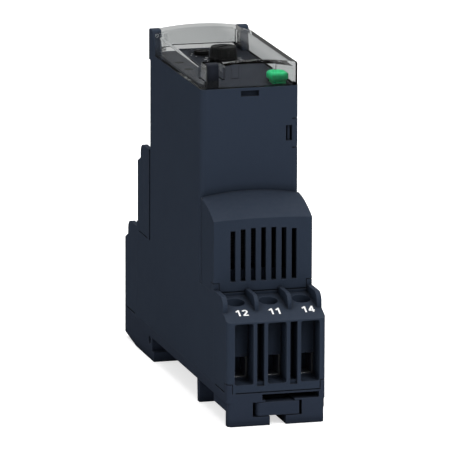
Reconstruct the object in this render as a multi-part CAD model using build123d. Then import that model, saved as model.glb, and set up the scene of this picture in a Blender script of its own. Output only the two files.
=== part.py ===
"""Level control relay for a mounting rail: a narrow module with screw terminals.

Frame: X across the narrow width, Y along the length, Z up through the front
face.  The near end (the row with the vent grille above it) points to -Y.  The
origin is on the bottom plane, in the middle of the width and of the length.
Every length is in millimetres.
"""
import os
from math import tau

from build123d import *

# Overall module
module_width = 22.5
nose_length = 45.0
rim_height = 71.1
side_wall = 1.5
end_wall = 1.5

# Seams between the mouldings
seam_height = 7.4
corner_ear_height = 2.1
corner_ear_depth = 2.1
corner_ear_width = 1.2
corner_ear_gap = 0.15
seam_width = 0.25
seam_depth = 0.3
seam_left_inset = 2.0
seam_right_inset = 1.3
edge_radius = 1.0
nose_edge_radius = 1.3

# Terminal rows
terminal_wall = 1.0
terminal_shift = 0.19
row_step = 20.2
face_height = 16.0
near_back_wall = 1.56
upper_back_wall = 1.26
entry_width = 4.24
entry_depth = 5.0
entry_sill = 1.95
entry_brow = 0.35
entry_corner = 0.5
funnel_gap = 0.15
partition = 0.6
relief_width = 1.63
relief_depth = 4.4
relief_rise = 1.55
relief_sill = 0.85
label_depth = 5.35
label_rise = 2.4
top_slope = 0.19
fin_front = 3.5
fin_rise = 5.0
fin_radius = 2.3
fin_thickness = 0.9
side_fin_thickness = 1.1

# Screw clamps
cage_width = 5.2
cage_depth = 4.0
cage_wall = 0.8
cage_top_wall = 1.8
cage_height = 8.6
chamber_sill = 1.68
cage_play = 0.12
cage_travel = 3.6
screw_head_radius = 1.95
screw_head_height = 2.0
screw_shank_radius = 1.4
screw_hole_radius = 2.12
thread_clearance = 0.05
screw_pitch = 0.6
cross_width = 0.7
cross_length = 2.9
cross_depth = 1.1
bar_thickness = 0.9
bar_side_gap = 0.2
bar_top_gap = 0.35
bar_wall_gap = 0.92
bar_tail = 4.0
bar_clearance = 0.05

# Vent cover
vent_wall = 1.4
vent_crease_rise = 16.15
vent_crease_crown = 0.35
vent_mid_rise = 18.35
vent_mid_crown = 0.8
vent_top_rise = 19.35
vent_top_crown = 1.2
vent_gap = 0.2
grille_count = 7
grille_pitch = 2.33
grille_slot = 1.13
grille_shift = 0.15
grille_rise = 2.4
grille_brow = 1.8
grille_sag = 0.55
grille_margin = 0.445
vent_lip = 0.9

# Rail base
rail_recess_near = -18.9
rail_recess_far = 18.05
rail_recess_top = 5.3
hook_lip = 2.2
hook_depth = 1.7
leg_thickness = 2.1
leg_draft = 0.4
near_foot_thickness = 2.0
skirt_bottom = 3.3
skirt_length = 10.0
skirt_wall = 1.2
skirt_inset = 0.25
far_foot_flat = 15.7
far_foot_rise = 1.4
foot_wall = 1.8
foot_rib = 1.6
foot_bays = 3
foot_hole_radius = 0.93
foot_hole_height = 4.35
foot_hole_inset = 3.75

# Rail clip
clip_width = 9.96
clip_centre = 0.23
clip_bottom = 2.2
clip_roof_gap = 0.1
clip_play = 0.2
clip_end_gap = 0.3
clip_nose = 4.4
clip_nose_height = 1.9
clip_nose_width = 7.0
clip_nose_root = 1.5
clip_nose_bevel = 1.2
clip_nose_edge = 1.0
clip_side_clearance = 0.6
clip_tab_round = 1.3
tab_hole_start = 3.2
tab_hole_length = 2.2
tab_hole_width = 5.2
tab_hole_depth = 1.2
grip_count = 3
grip_start = 6.8
grip_pitch = 1.4
grip_width = 0.6
grip_depth = 0.5
runner_lip = 0.8
runner_wall = 1.0
runner_root = 0.2
lever_slot_sill = 0.37
lever_slot_roof = 0.4
lever_slot_left = -3.2
lever_slot_wall = 1.5
lever_slot_depth = 8.0
lever_dip_width = 6.7
lever_dip_centre = 0.85
foot_notch_width = 3.65
foot_notch_centre = 0.375
foot_gusset_length = 10.0
foot_gusset_width = 1.6
spring_wire = 0.45
spring_radius = 1.05
spring_turns = 6
spring_pocket_width = 3.2
spring_pocket_start = 9.0
spring_pocket_length = 11.5
spring_peg = 1.2
spring_peg_gap = 0.15
spring_peg_inset = 0.4
spring_clearance = 0.05

# Front plate and what stands on it
plate_thickness = 1.6
plate_clearance = 0.05
plate_ledge = 0.4
lug_side_gap = 0.84
lug_width = 2.6
lug_depth = 2.2
lug_height = 5.4
lug_setback = 1.5
lug_round = 0.5
lug_eye_radius = 0.6
lug_eye_drop = 1.6
selector_x = 2.4
selector_y = 8.5
selector_radius = 3.2
selector_flange = 0.5
selector_waist = 3.05
selector_top_radius = 2.8
selector_bevel = 0.3
selector_height = 3.6
selector_shaft_radius = 1.5
trimmer_x = -1.1
trimmer_y = 14.6
trimmer_radius = 1.7
trimmer_height = 0.9
trimmer_shaft_radius = 0.9
shaft_clearance = 0.05
knob_gap = 0.15
knob_slot_width = 0.7
pointer_depth = 0.7
trimmer_slot_depth = 0.5
shaft_root = 0.5
button_side_gap = 0.29
button_setback = 5.1
button_width = 4.4
button_length = 5.8
button_height = 2.3
button_stem = 2.4
button_travel = 0.8
button_clearance = 0.12
button_rest_gap = 0.1
button_round = 1.9
button_collar = 0.6
dish_radius = 3.4
dish_depth = 0.4
guide_inset = 3.85
guide_near_y = 1.0
guide_far_y = 9.0
guide_radius = 1.0

# Transparent cover
cover_wall = 1.0
cover_inset = 0.06
cover_seat_gap = 0.06
cover_side_height = 5.15
cover_crown = 1.05
cover_edge_radius = 0.5
cover_inner_radius = 0.3
cover_rib_x = 6.0
cover_rib_width = 0.6
cover_rib_depth = 0.7
cover_rib_lift = 0.5
cover_pad_x = -3.1
cover_pad_width = 1.7
cover_pad_depth = 0.5
cover_pad_height = 3.2
hinge_inset = 2.1
hinge_height = 3.1
hinge_ear_thickness = 2.1
hinge_ear_base = 5.2
hinge_ear_top = 2.9
hinge_ear_rise = 5.6
hinge_ear_round = 0.7
hinge_pin_radius = 0.8
hinge_clearance = 0.05
hinge_arm_thickness = 1.0
hinge_arm_gap = 0.15
hinge_sweep = 3.4
hinge_wall_lift = 1.15
hinge_pin_bed = 0.5
hinge_pin_gap = 0.1
hinge_pin_root = 0.2
hinge_arm_inset = 0.5
latch_window_margin = 0.6
latch_wall = 0.8
latch_sill = 1.8

# Small recesses of the nose
nose_slot_width = 4.1
nose_slot_drop = 0.65
nose_slot_height = 1.25
nose_slot_depth = 0.9
snap_slot_inset = 1.55
snap_slot_width = 1.4
snap_slot_drop = 8.9
snap_slot_height = 3.45
snap_slot_depth = 1.2
snap_rib_width = 0.5
snap_cut_below = 1.6
snap_cut_above = 1.5
snap_cut_wrap = 2.0

# Parts inside
board_thickness = 1.6
board_side_gap = 1.15
board_floor_gap = 1.6
board_room = 5.5
board_clearance = 0.05
board_edge = 3.0
relay_length = 28.5
relay_width = 10.1
relay_height = 12.3
relay_round = 0.6
transformer_gap = 5.9
transformer_length = 16.0
transformer_width = 14.0
transformer_height = 12.0
core_limb = 2.6
core_yoke = 2.0
capacitor_gap = 5.0
capacitor_setback = 4.0
capacitor_radius = 4.0
capacitor_length = 12.5
capacitor_groove = 0.4
capacitor_groove_start = 1.6
capacitor_groove_width = 0.8
pot_size = 7.0
pot_floor = 0.8
trimmer_size = 4.6
switch_size = 3.9
lamp_radius = 1.3
lamp_height = 1.8
lamp_collar = 0.3
lamp_collar_height = 0.5

# Derived places
chamber_half = cage_width / 2 + cage_play
chamber_near = entry_depth + partition
chamber_far = chamber_near + cage_depth + 2 * cage_play
near_depth = chamber_far + near_back_wall
upper_depth = chamber_far + upper_back_wall
half_width = module_width / 2
half_nose = nose_length / 2
half_upper = half_nose + upper_depth
half_length = half_upper + near_depth
deck_height = seam_height + row_step
crease_height = seam_height + face_height
fin_height = crease_height + fin_rise
entry_floor = seam_height + entry_sill
entry_top = crease_height - entry_brow
relief_floor = seam_height + relief_rise
screw_depth = entry_depth + partition + cage_play + cage_depth / 2
chamber_floor = seam_height + chamber_sill
cage_floor = chamber_floor + cage_play
cage_top = cage_floor + cage_height
chamber_roof = cage_top + cage_travel + cage_play
bar_width = cage_width - 2 * cage_wall - 2 * bar_side_gap
bar_bottom = cage_top - cage_top_wall - bar_top_gap - bar_thickness
bar_start = chamber_near + cage_play
bar_end = near_depth + end_wall + bar_wall_gap + bar_thickness
funnel_top = bar_bottom - funnel_gap
screw_tip = bar_bottom + bar_thickness
head_bottom = chamber_roof
head_top = head_bottom + screw_head_height
terminal_pitch = half_width - chamber_half - terminal_wall
terminal_x = [terminal_shift + k * terminal_pitch for k in (-1, 0, 1)]
relief_x = [terminal_shift + k * terminal_pitch for k in (-0.5, 0.5)]
vent_crease = deck_height + vent_crease_rise
vent_mid = deck_height + vent_mid_rise
vent_top = deck_height + vent_top_rise
grille_bottom = deck_height + grille_rise
grille_top = vent_crease - grille_brow
grille_half = ((grille_count - 1) * grille_pitch + grille_slot) / 2 + grille_margin
plate_top = rim_height
plate_bottom = plate_top - plate_thickness
lug_left = -half_width + cover_inset + cover_wall + lug_side_gap
button_x = half_width - cover_inset - cover_wall - button_side_gap - button_width / 2
button_y = -half_nose + button_setback
guide_x = -half_width + guide_inset
hinge_y = half_nose - hinge_inset
hinge_z = rim_height + hinge_height
clip_height = rail_recess_top - clip_roof_gap - clip_bottom
clip_low_x = clip_centre - clip_width / 2
clip_high_x = clip_centre + clip_width / 2
clip_top = clip_bottom + clip_height
lever_slot_low = rail_recess_top + lever_slot_sill
lever_slot_high = seam_height - lever_slot_roof
lever_slot_right = half_width - lever_slot_wall
spring_pocket_near = -half_length + spring_pocket_start
spring_pocket_far = spring_pocket_near + spring_pocket_length
leg_far = rail_recess_near
leg_near = leg_far - leg_thickness
main_board_left = -half_width + side_wall + board_side_gap
main_board_bottom = seam_height + board_floor_gap
front_board_height = plate_bottom - board_room
front_board_top = front_board_height + board_thickness
relay_bottom = main_board_bottom + board_edge
transformer_bottom = relay_bottom + relay_width + transformer_gap
capacitor_bottom = transformer_bottom + transformer_width + capacitor_gap


def block(x_low, x_high, y_low, y_high, z_low, z_high):
    """A box from its limits."""
    centre = ((x_low + x_high) / 2, (y_low + y_high) / 2, (z_low + z_high) / 2)
    return Pos(*centre) * Box(x_high - x_low, y_high - y_low, z_high - z_low)


def side_prism(points, x_low, x_high):
    """A polygon in Y and Z, drawn out along X."""
    face = Plane.YZ.offset(x_low) * make_face(Polyline(*points, close=True))
    return extrude(face, amount=x_high - x_low)


def post(x, y, z_low, z_high, radius):
    """An upright round bar."""
    return Pos(x, y, (z_low + z_high) / 2) * Cylinder(radius, z_high - z_low)


def cross_bar(x_low, x_high, y, z, radius):
    """A round bar along X."""
    return Pos((x_low + x_high) / 2, y, z) * Rot(0, 90, 0) * Cylinder(radius, x_high - x_low)


def crowned_face(y, half, z_low, z_side, crown):
    """An upright section across the width with an arched top edge."""
    left, right = (-half, z_side), (half, z_side)
    outline = Polyline(left, (-half, z_low), (half, z_low), right)
    arch = ThreePointArc(right, (0, z_side + crown), left)
    return Plane.XZ.offset(-y) * make_face(outline + arch)


def crowned_block(half, y_low, y_high, z_low, z_side, crown):
    """A bar along Y whose top is arched across the width."""
    return extrude(crowned_face(y_high, half, z_low, z_side, crown), amount=y_high - y_low)


def upright_edges(shape, x_limit, y_near, tolerance=0.01):
    """Vertical edges on the two outer corners of an end face."""
    found = []
    for edge in shape.edges().filter_by(Axis.Z):
        middle = edge.center()
        if abs(abs(middle.X) - x_limit) < tolerance and abs(middle.Y - y_near) < tolerance:
            found.append(edge)
    return found


def mirrored(shape):
    """The same shape turned to the far end."""
    return mirror(shape, about=Plane.XZ)


def corner_pairs(y_low, y_high, z_low, z_high, width, margin=0.0):
    """Two boxes, one on each outer side."""
    inner = half_width - width
    outer = half_width + margin
    return block(-outer, -inner, y_low, y_high, z_low, z_high) + block(
        inner, outer, y_low, y_high, z_low, z_high
    )


def fin(x_low, x_high, depth):
    """One upright wall beside a screw, with a quarter-round front."""
    foot = crease_height
    upright = fin_height - fin_radius
    corner = fin_front + fin_radius
    middle = (
        corner - fin_radius * 0.7071,
        upright + fin_radius * 0.7071,
    )
    sides = Polyline(
        (corner, fin_height),
        (depth, fin_height),
        (depth, foot),
        (fin_front, foot),
        (fin_front, upright),
    )
    arc = ThreePointArc((fin_front, upright), middle, (corner, fin_height))
    face = Plane.YZ.offset(x_low) * make_face(sides + arc)
    return extrude(face, amount=x_high - x_low)


def ear_pockets(y_low, y_high, z_seam):
    """Room with a fine gap for the two corner ears of the moulding below."""
    return corner_pairs(
        y_low,
        y_high + corner_ear_gap,
        z_seam - 1,
        z_seam + corner_ear_height + corner_ear_gap,
        corner_ear_width + corner_ear_gap,
        1,
    )


def seam_grooves():
    """Shallow lines where a block meets the moulding below it."""
    low = seam_height
    left, right = -half_width + seam_left_inset, half_width - seam_right_inset
    front = block(left, right, -1, seam_depth, low, low + seam_width)
    side_end = chamber_far
    sides = corner_pairs(corner_ear_depth, side_end, low, low + seam_width, seam_depth, 1)
    return front + sides


def terminal_block(depth):
    """Three screw terminals in one moulding, face at y = 0 and back at depth."""
    back_height = crease_height + label_rise + (depth - label_depth) * top_slope
    outline = [
        (0, seam_height),
        (0, crease_height),
        (label_depth, crease_height + label_rise),
        (depth, back_height),
        (depth, seam_height),
    ]
    body = side_prism(outline, -half_width, half_width)
    body = fillet(upright_edges(body, half_width, 0), edge_radius)
    wall_edge = half_width - side_fin_thickness
    body += fin(-half_width, -wall_edge, depth)
    body += fin(wall_edge, half_width, depth)
    for x in relief_x:
        body += fin(x - fin_thickness / 2, x + fin_thickness / 2, depth)
    for x in terminal_x:
        half = entry_width / 2
        entry = block(x - half, x + half, -1, entry_depth, entry_floor, entry_top)
        entry = fillet(entry.edges().filter_by(Axis.Y), entry_corner)
        body -= entry
        funnel_floor = entry_floor + entry_corner
        body -= block(
            x - half, x + half, entry_depth - 0.1, chamber_near + 0.1, funnel_floor, funnel_top
        )
        body -= block(
            x - chamber_half, x + chamber_half, chamber_near, chamber_far, chamber_floor, chamber_roof
        )
        body -= post(x, screw_depth, chamber_roof - 1, fin_height, screw_hole_radius)
        bar_half = bar_width / 2 + bar_clearance
        body -= block(
            x - bar_half,
            x + bar_half,
            chamber_far - 1,
            depth + 1,
            bar_bottom - bar_clearance,
            bar_bottom + bar_thickness + bar_clearance,
        )
    for x in relief_x:
        half = relief_width / 2
        body -= block(x - half, x + half, -1, relief_depth, relief_floor + relief_sill, entry_top)
        body -= block(x - half, x + half, -1, partition, relief_floor, relief_floor + relief_sill + 0.1)
    body -= ear_pockets(-1, corner_ear_depth, seam_height)
    body -= seam_grooves()
    return body


def clamp_cage():
    """The steel cage that rises to grip a wire, for a screw on the Z axis."""
    half = cage_width / 2
    deep = cage_depth / 2
    cage = block(-half, half, -deep, deep, cage_floor, cage_top)
    window_top = cage_top - cage_top_wall
    cage -= block(
        -half + cage_wall, half - cage_wall, -deep - 1, deep + 1, cage_floor + cage_wall, window_top
    )
    cage -= post(0, 0, window_top - 1, cage_top + 1, screw_shank_radius + thread_clearance)
    return cage


def clamp_screw():
    """A terminal screw with a round head and a cross recess, on the Z axis."""
    screw = post(0, 0, head_bottom, head_top, screw_head_radius)
    screw += post(0, 0, screw_tip, head_bottom, screw_shank_radius)
    low = head_top - cross_depth
    screw -= block(
        -cross_length / 2, cross_length / 2, -cross_width / 2, cross_width / 2, low, head_top + 1
    )
    screw -= block(
        -cross_width / 2, cross_width / 2, -cross_length / 2, cross_length / 2, low, head_top + 1
    )
    return screw


def contact_bars():
    """Three flat copper bars of one row, bent down to solder tails."""
    bars = []
    top = bar_bottom + bar_thickness
    for x in terminal_x:
        low, high = x - bar_width / 2, x + bar_width / 2
        bar = block(low, high, bar_start, bar_end, bar_bottom, top)
        bar += block(low, high, bar_end - bar_thickness, bar_end, bar_bottom - bar_tail, top)
        bars.append(bar)
    return Compound(children=bars)


def bar_windows(y_low, y_high, lift):
    """Openings for one row of contact bars through an end wall."""
    half = bar_width / 2 + bar_clearance
    low = bar_bottom - bar_clearance + lift
    high = bar_bottom + bar_thickness + bar_clearance + lift
    boxes = [block(x - half, x + half, y_low, y_high, low, high) for x in terminal_x]
    return boxes[0] + boxes[1] + boxes[2]


def hinge_ear(x_low, x_high):
    """A lug at the far end of the rim that carries the cover's pivot."""
    far = half_nose
    base_z = plate_bottom
    top_z = rim_height + hinge_ear_rise
    points = [
        (far - hinge_ear_base, base_z),
        (far, base_z),
        (far, top_z),
        (far - hinge_ear_top, top_z),
        (far - hinge_ear_base, rim_height),
    ]
    ear = side_prism(points, x_low, x_high)
    top_edges = [
        edge
        for edge in ear.edges().filter_by(Axis.X)
        if edge.center().Z > top_z - 0.1
    ]
    return fillet(top_edges, hinge_ear_round)


def housing():
    """The main shell: deck, nose, rim and hinge ears in one moulding."""
    deck = block(-half_width, half_width, -half_upper, half_upper, seam_height, deck_height)
    nose = block(-half_width, half_width, -half_nose, half_nose, deck_height, rim_height)
    near_edges = upright_edges(nose, half_width, -half_nose)
    far_edges = upright_edges(nose, half_width, half_nose)
    nose = fillet(near_edges + far_edges, nose_edge_radius)
    shell = deck + nose
    ear_top = deck_height + corner_ear_height
    ear_inner = half_upper - corner_ear_depth
    shell += corner_pairs(-half_upper, -ear_inner, deck_height - 1, ear_top, corner_ear_width)
    shell += corner_pairs(ear_inner, half_upper, deck_height - 1, ear_top, corner_ear_width)
    ear_inner_x = half_width - hinge_ear_thickness
    inner_x = half_width - side_wall
    inner_nose = half_nose - end_wall
    inner_deck = half_upper - end_wall
    shell -= block(-inner_x, inner_x, -inner_deck, inner_deck, seam_height - 1, deck_height - end_wall)
    shell -= block(
        -inner_x, inner_x, -inner_nose, inner_nose, deck_height - end_wall - 1, rim_height + 1
    )
    rebate_x = inner_x + plate_ledge
    rebate_y = inner_nose + plate_ledge
    shell -= block(-rebate_x, rebate_x, -rebate_y, rebate_y, plate_bottom, rim_height + 1)
    shell += hinge_ear(-half_width, -ear_inner_x)
    shell += hinge_ear(ear_inner_x, half_width)
    pin_hole = hinge_pin_radius + hinge_clearance
    pin_reach = half_width - hinge_pin_bed
    shell -= cross_bar(-pin_reach, pin_reach, hinge_y, hinge_z, pin_hole)
    shell -= bar_windows(-half_upper - 1, -inner_deck + 1, 0)
    shell -= bar_windows(inner_deck - 1, half_upper + 1, 0)
    shell -= bar_windows(inner_nose - 1, half_nose + 1, row_step)
    shell -= block(
        -grille_half, grille_half, -half_nose - 1, -inner_nose + 1, grille_bottom, grille_top - 1
    )
    shell -= nose_recesses()
    return shell


def nose_recesses():
    """The pry slot, the snap slot and its two side cuts on the near face."""
    face = -half_nose
    half = nose_slot_width / 2
    slot_high = rim_height - nose_slot_drop
    cuts = block(-half, half, face - 1, face + nose_slot_depth, slot_high - nose_slot_height, slot_high)
    right = half_width - snap_slot_inset
    left = right - snap_slot_width
    high = rim_height - snap_slot_drop
    low = high - snap_slot_height
    cuts += block(left, right, face - 1, face + snap_slot_depth, low, high)
    rib_left = (left + right - snap_rib_width) / 2
    rib_right = rib_left + snap_rib_width
    cuts -= block(rib_left, rib_right, face + snap_rib_width, face + snap_slot_depth, low, high)
    for z in (low - snap_cut_below, high + snap_cut_above):
        cut_low, cut_high = z - seam_width / 2, z + seam_width / 2
        cuts += block(right, half_width + 1, face - 1, face + seam_depth, cut_low, cut_high)
        side = half_width - seam_depth
        cuts += block(side, half_width + 1, face - 1, face + snap_cut_wrap, cut_low, cut_high)
    return cuts


def vent_sections(inset, y_near):
    """Three sections of the vent cover's rising roof."""
    y_far = -half_nose - vent_gap
    half = half_width - inset
    floor = deck_height if inset == 0 else deck_height - 1
    return [
        crowned_face(y_near, half, floor, vent_crease - inset, vent_crease_crown),
        crowned_face((y_near + y_far) / 2, half, floor, vent_mid - inset, vent_mid_crown),
        crowned_face(y_far, half, floor, vent_top - inset, vent_top_crown),
    ]


def vent_cover():
    """The grille hood on the near end, with its arched, sloping roof."""
    near = -half_upper
    hood = loft(vent_sections(0, near))
    hollow = loft(vent_sections(vent_wall, near + vent_wall))
    back = block(
        -half_width + vent_wall,
        half_width - vent_wall,
        -half_nose - vent_gap - 0.5,
        -half_nose,
        deck_height - 1,
        vent_top - vent_wall,
    )
    hood = hood - hollow - back
    for k in range(grille_count):
        offset = k - (grille_count - 1) / 2
        x = grille_shift + offset * grille_pitch
        reach = offset / ((grille_count - 1) / 2)
        top = grille_top - grille_sag * reach * reach
        slot = block(
            x - grille_slot / 2, x + grille_slot / 2, near - 1, near + vent_wall + 0.5, grille_bottom, top
        )
        hood -= slot
    hood -= ear_pockets(near - 1, near + corner_ear_depth, deck_height)
    hood -= block(
        -half_width + seam_left_inset,
        half_width - seam_right_inset,
        near - 1,
        near + seam_depth,
        deck_height,
        deck_height + seam_width,
    )
    lip = -half_nose - vent_lip
    hood -= corner_pairs(lip - seam_width, lip, deck_height, rim_height, seam_depth, 1)
    return hood


def rail_base():
    """The foot moulding: rail recess, clip guides, fixed hook and feet."""
    base = block(-half_width, half_width, -half_length, half_length, rail_recess_top, seam_height)
    base = fillet(
        upright_edges(base, half_width, -half_length) + upright_edges(base, half_width, half_length),
        edge_radius,
    )
    ear_top = seam_height + corner_ear_height
    ear_inner = half_length - corner_ear_depth
    ears = corner_pairs(-half_length, -ear_inner, seam_height - 1, ear_top, corner_ear_width)
    ears = fillet(upright_edges(ears, half_width, -half_length), edge_radius)
    base += ears
    base += mirrored(ears)
    foot = block(
        -half_width + skirt_inset,
        half_width - skirt_inset,
        -half_length,
        -half_length + near_foot_thickness,
        0,
        rail_recess_top + 0.5,
    )
    base += fillet(upright_edges(foot, half_width - skirt_inset, -half_length), edge_radius)
    skirt_end = -half_length + near_foot_thickness + skirt_length
    skirt_outer = half_width - skirt_inset
    for side in (-1, 1):
        x_pair = sorted((side * skirt_outer, side * (skirt_outer - skirt_wall)))
        base += block(*x_pair, -half_length + 0.5, skirt_end, skirt_bottom, rail_recess_top + 0.5)
    base += side_prism(
        [
            (leg_near, rail_recess_top + 0.5),
            (leg_near, 0),
            (leg_far - leg_draft, 0),
            (leg_far, rail_recess_top + 0.5),
        ],
        -half_width + skirt_inset,
        half_width - skirt_inset,
    )
    base += far_foot()
    base += foot_gussets()
    base -= clip_passage()
    base += clip_guides()
    base += spring_seat()
    return base


def foot_gussets():
    """Two low ribs that run back from the near foot on both sides of its notch."""
    near = -half_length + near_foot_thickness / 2
    far = near + foot_gusset_length
    inner = foot_notch_width / 2
    outer = inner + foot_gusset_width
    top = clip_bottom - clip_play
    left = block(foot_notch_centre - outer, foot_notch_centre - inner, near, far, 0, top)
    right = block(foot_notch_centre + inner, foot_notch_centre + outer, near, far, 0, top)
    return left + right


def far_foot():
    """The long foot past the rail, with the fixed hook and a cored underside."""
    near = rail_recess_far
    flat_end = near + far_foot_flat
    points = [
        (near, 0),
        (flat_end, 0),
        (half_length, far_foot_rise),
        (half_length, rail_recess_top + 0.5),
        (near + hook_depth, rail_recess_top + 0.5),
        (near + hook_depth, hook_lip),
        (near, hook_lip),
    ]
    foot = side_prism(points, -half_width, half_width)
    foot = fillet(upright_edges(foot, half_width, half_length), edge_radius)
    pocket_near = near + hook_depth + foot_wall
    pocket_far = half_length - foot_wall
    inner = half_width - foot_wall
    bay = (pocket_far - pocket_near - (foot_bays - 1) * foot_rib) / foot_bays
    for k in range(foot_bays):
        low = pocket_near + k * (bay + foot_rib)
        foot -= block(-inner, -foot_rib / 2, low, low + bay, -1, rail_recess_top)
        foot -= block(foot_rib / 2, inner, low, low + bay, -1, rail_recess_top)
    hole_y = near + foot_hole_inset
    foot -= cross_bar(-half_width - 1, -half_width + 1.2, hole_y, foot_hole_height, foot_hole_radius)
    foot -= cross_bar(half_width - 1.2, half_width + 1, hole_y, foot_hole_height, foot_hole_radius)
    return foot


def clip_passage():
    """What the near foot and the leg leave open for the clip and a lever."""
    low_x = clip_low_x - clip_side_clearance
    high_x = clip_high_x + clip_side_clearance
    passage = block(
        low_x, high_x, -half_length - 1, leg_far + 0.5, clip_bottom - clip_play, rail_recess_top
    )
    half = foot_notch_width / 2
    foot_end = -half_length + near_foot_thickness
    passage += block(
        foot_notch_centre - half,
        foot_notch_centre + half,
        -half_length - 1,
        foot_end + 1,
        -1,
        clip_bottom,
    )
    lever_end = -half_length + lever_slot_depth
    passage += block(
        lever_slot_left, lever_slot_right, -half_length - 1, lever_end, lever_slot_low, lever_slot_high
    )
    passage += block(
        lever_dip_centre - lever_dip_width / 2,
        lever_dip_centre + lever_dip_width / 2,
        -half_length - 1,
        lever_end,
        rail_recess_top - 0.5,
        lever_slot_low + 0.1,
    )
    return passage


def clip_guides():
    """Two rails under the deck that carry the clip by small lips."""
    near = -half_length + near_foot_thickness - runner_root
    far = leg_near + runner_root
    low_z = clip_bottom - clip_play - runner_lip
    guides = None
    for side, edge in ((-1, clip_low_x - clip_side_clearance), (1, clip_high_x + clip_side_clearance)):
        outer = edge + side * runner_wall
        inner = edge - side * (clip_side_clearance + runner_lip)
        x_wall = sorted((edge, outer))
        x_ledge = sorted((inner, outer))
        wall = block(*x_wall, near, far, low_z, rail_recess_top + runner_root)
        ledge = block(*x_ledge, near, far, low_z, low_z + runner_lip)
        pair = wall + ledge
        guides = pair if guides is None else guides + pair
    return guides


def spring_seat():
    """The peg under the deck that the clip's spring pushes against."""
    near = spring_pocket_near + spring_peg_gap
    half = spring_pocket_width / 2 - spring_peg_inset
    return block(
        clip_centre - half,
        clip_centre + half,
        near,
        near + spring_peg,
        clip_bottom,
        rail_recess_top + runner_root,
    )


def rail_clip():
    """The sliding clip: a pull tab at the near end and a nose under the rail."""
    near = -half_length
    nose_start = leg_far
    body = block(clip_low_x, clip_high_x, near, nose_start - clip_end_gap, clip_bottom, clip_top)
    corner = [
        edge
        for edge in body.edges().filter_by(Axis.Z)
        if edge.center().X < clip_centre and edge.center().Y < near + clip_end_gap
    ]
    body = fillet(corner, clip_tab_round)
    half = clip_nose_width / 2
    nose_end = nose_start + clip_nose
    nose_top = clip_bottom + clip_nose_height
    nose_points = [
        (nose_start - clip_nose_root, clip_bottom),
        (nose_end - clip_nose_bevel, clip_bottom),
        (nose_end, clip_bottom + clip_nose_edge),
        (nose_end, nose_top),
        (nose_start - clip_nose_root, nose_top),
    ]
    body += side_prism(nose_points, clip_centre - half, clip_centre + half)
    pocket = spring_pocket_width / 2
    body -= block(
        clip_centre - pocket,
        clip_centre + pocket,
        spring_pocket_near,
        spring_pocket_far,
        clip_bottom - 1,
        clip_top + 1,
    )
    hole_half = tab_hole_width / 2
    hole_y = near + tab_hole_start
    body -= block(
        lever_dip_centre - hole_half,
        lever_dip_centre + hole_half,
        hole_y,
        hole_y + tab_hole_length,
        clip_top - tab_hole_depth,
        clip_top + 1,
    )
    for k in range(grip_count):
        y = near + grip_start + k * grip_pitch
        body -= block(
            clip_low_x - 1, clip_high_x + 1, y, y + grip_width, clip_top - grip_depth, clip_top + 1
        )
    return body


def clip_spring():
    """The coil spring in the clip's pocket, pushing it towards the rail."""
    end_room = spring_wire / 2 + spring_clearance
    start = spring_pocket_near + spring_peg_gap + spring_peg + end_room
    end = spring_pocket_far - end_room
    length = end - start
    path = Helix(pitch=length / spring_turns, height=length, radius=spring_radius)
    profile = Plane(path @ 0, z_dir=path % 0) * Circle(spring_wire / 2)
    coil = sweep(profile, path=path, is_frenet=True)
    height = clip_bottom + clip_height / 2
    return Pos(clip_centre, start, height) * Rot(-90, 0, 0) * coil


def front_plate():
    """The printed front plate in the rim, with the latch lug for the cover."""
    half_x = half_width - side_wall + plate_ledge - plate_clearance
    half_y = half_nose - end_wall + plate_ledge - plate_clearance
    plate = block(-half_x, half_x, -half_y, half_y, plate_bottom, plate_top)
    notch_x = half_width - hinge_ear_thickness - plate_clearance
    notch_y = half_nose - hinge_ear_base - plate_clearance
    plate -= block(-half_width, -notch_x, notch_y, half_nose, plate_bottom - 1, plate_top + 1)
    plate -= block(notch_x, half_width, notch_y, half_nose, plate_bottom - 1, plate_top + 1)
    lug_near = -half_nose + lug_setback
    lug = block(
        lug_left, lug_left + lug_width, lug_near, lug_near + lug_depth, plate_top - 0.5, plate_top + lug_height
    )
    lug = fillet(lug.edges().group_by(Axis.Z)[-1].filter_by(Axis.X), lug_round)
    lug -= cross_bar(
        lug_left - 1,
        lug_left + lug_width + 1,
        lug_near + lug_depth / 2,
        plate_top + lug_height - lug_eye_drop,
        lug_eye_radius,
    )
    plate += lug
    plate -= post(
        selector_x, selector_y, plate_bottom - 1, plate_top + 1, selector_shaft_radius + shaft_clearance
    )
    plate -= post(
        trimmer_x, trimmer_y, plate_bottom - 1, plate_top + 1, trimmer_shaft_radius + shaft_clearance
    )
    half_b = button_width / 2 - button_collar + button_clearance
    long_b = button_length / 2 - button_collar + button_clearance
    plate -= block(
        button_x - half_b,
        button_x + half_b,
        button_y - long_b,
        button_y + long_b,
        plate_bottom - 1,
        plate_top + 1,
    )
    for y in (guide_near_y, guide_far_y):
        plate -= post(guide_x, y, plate_bottom - 1, plate_top + 1, guide_radius + plate_clearance)
    return plate


def light_guide(y):
    """A clear rod that carries a lamp's light up to the front plate."""
    return post(guide_x, y, front_board_top + lamp_height, plate_top, guide_radius)


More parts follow.
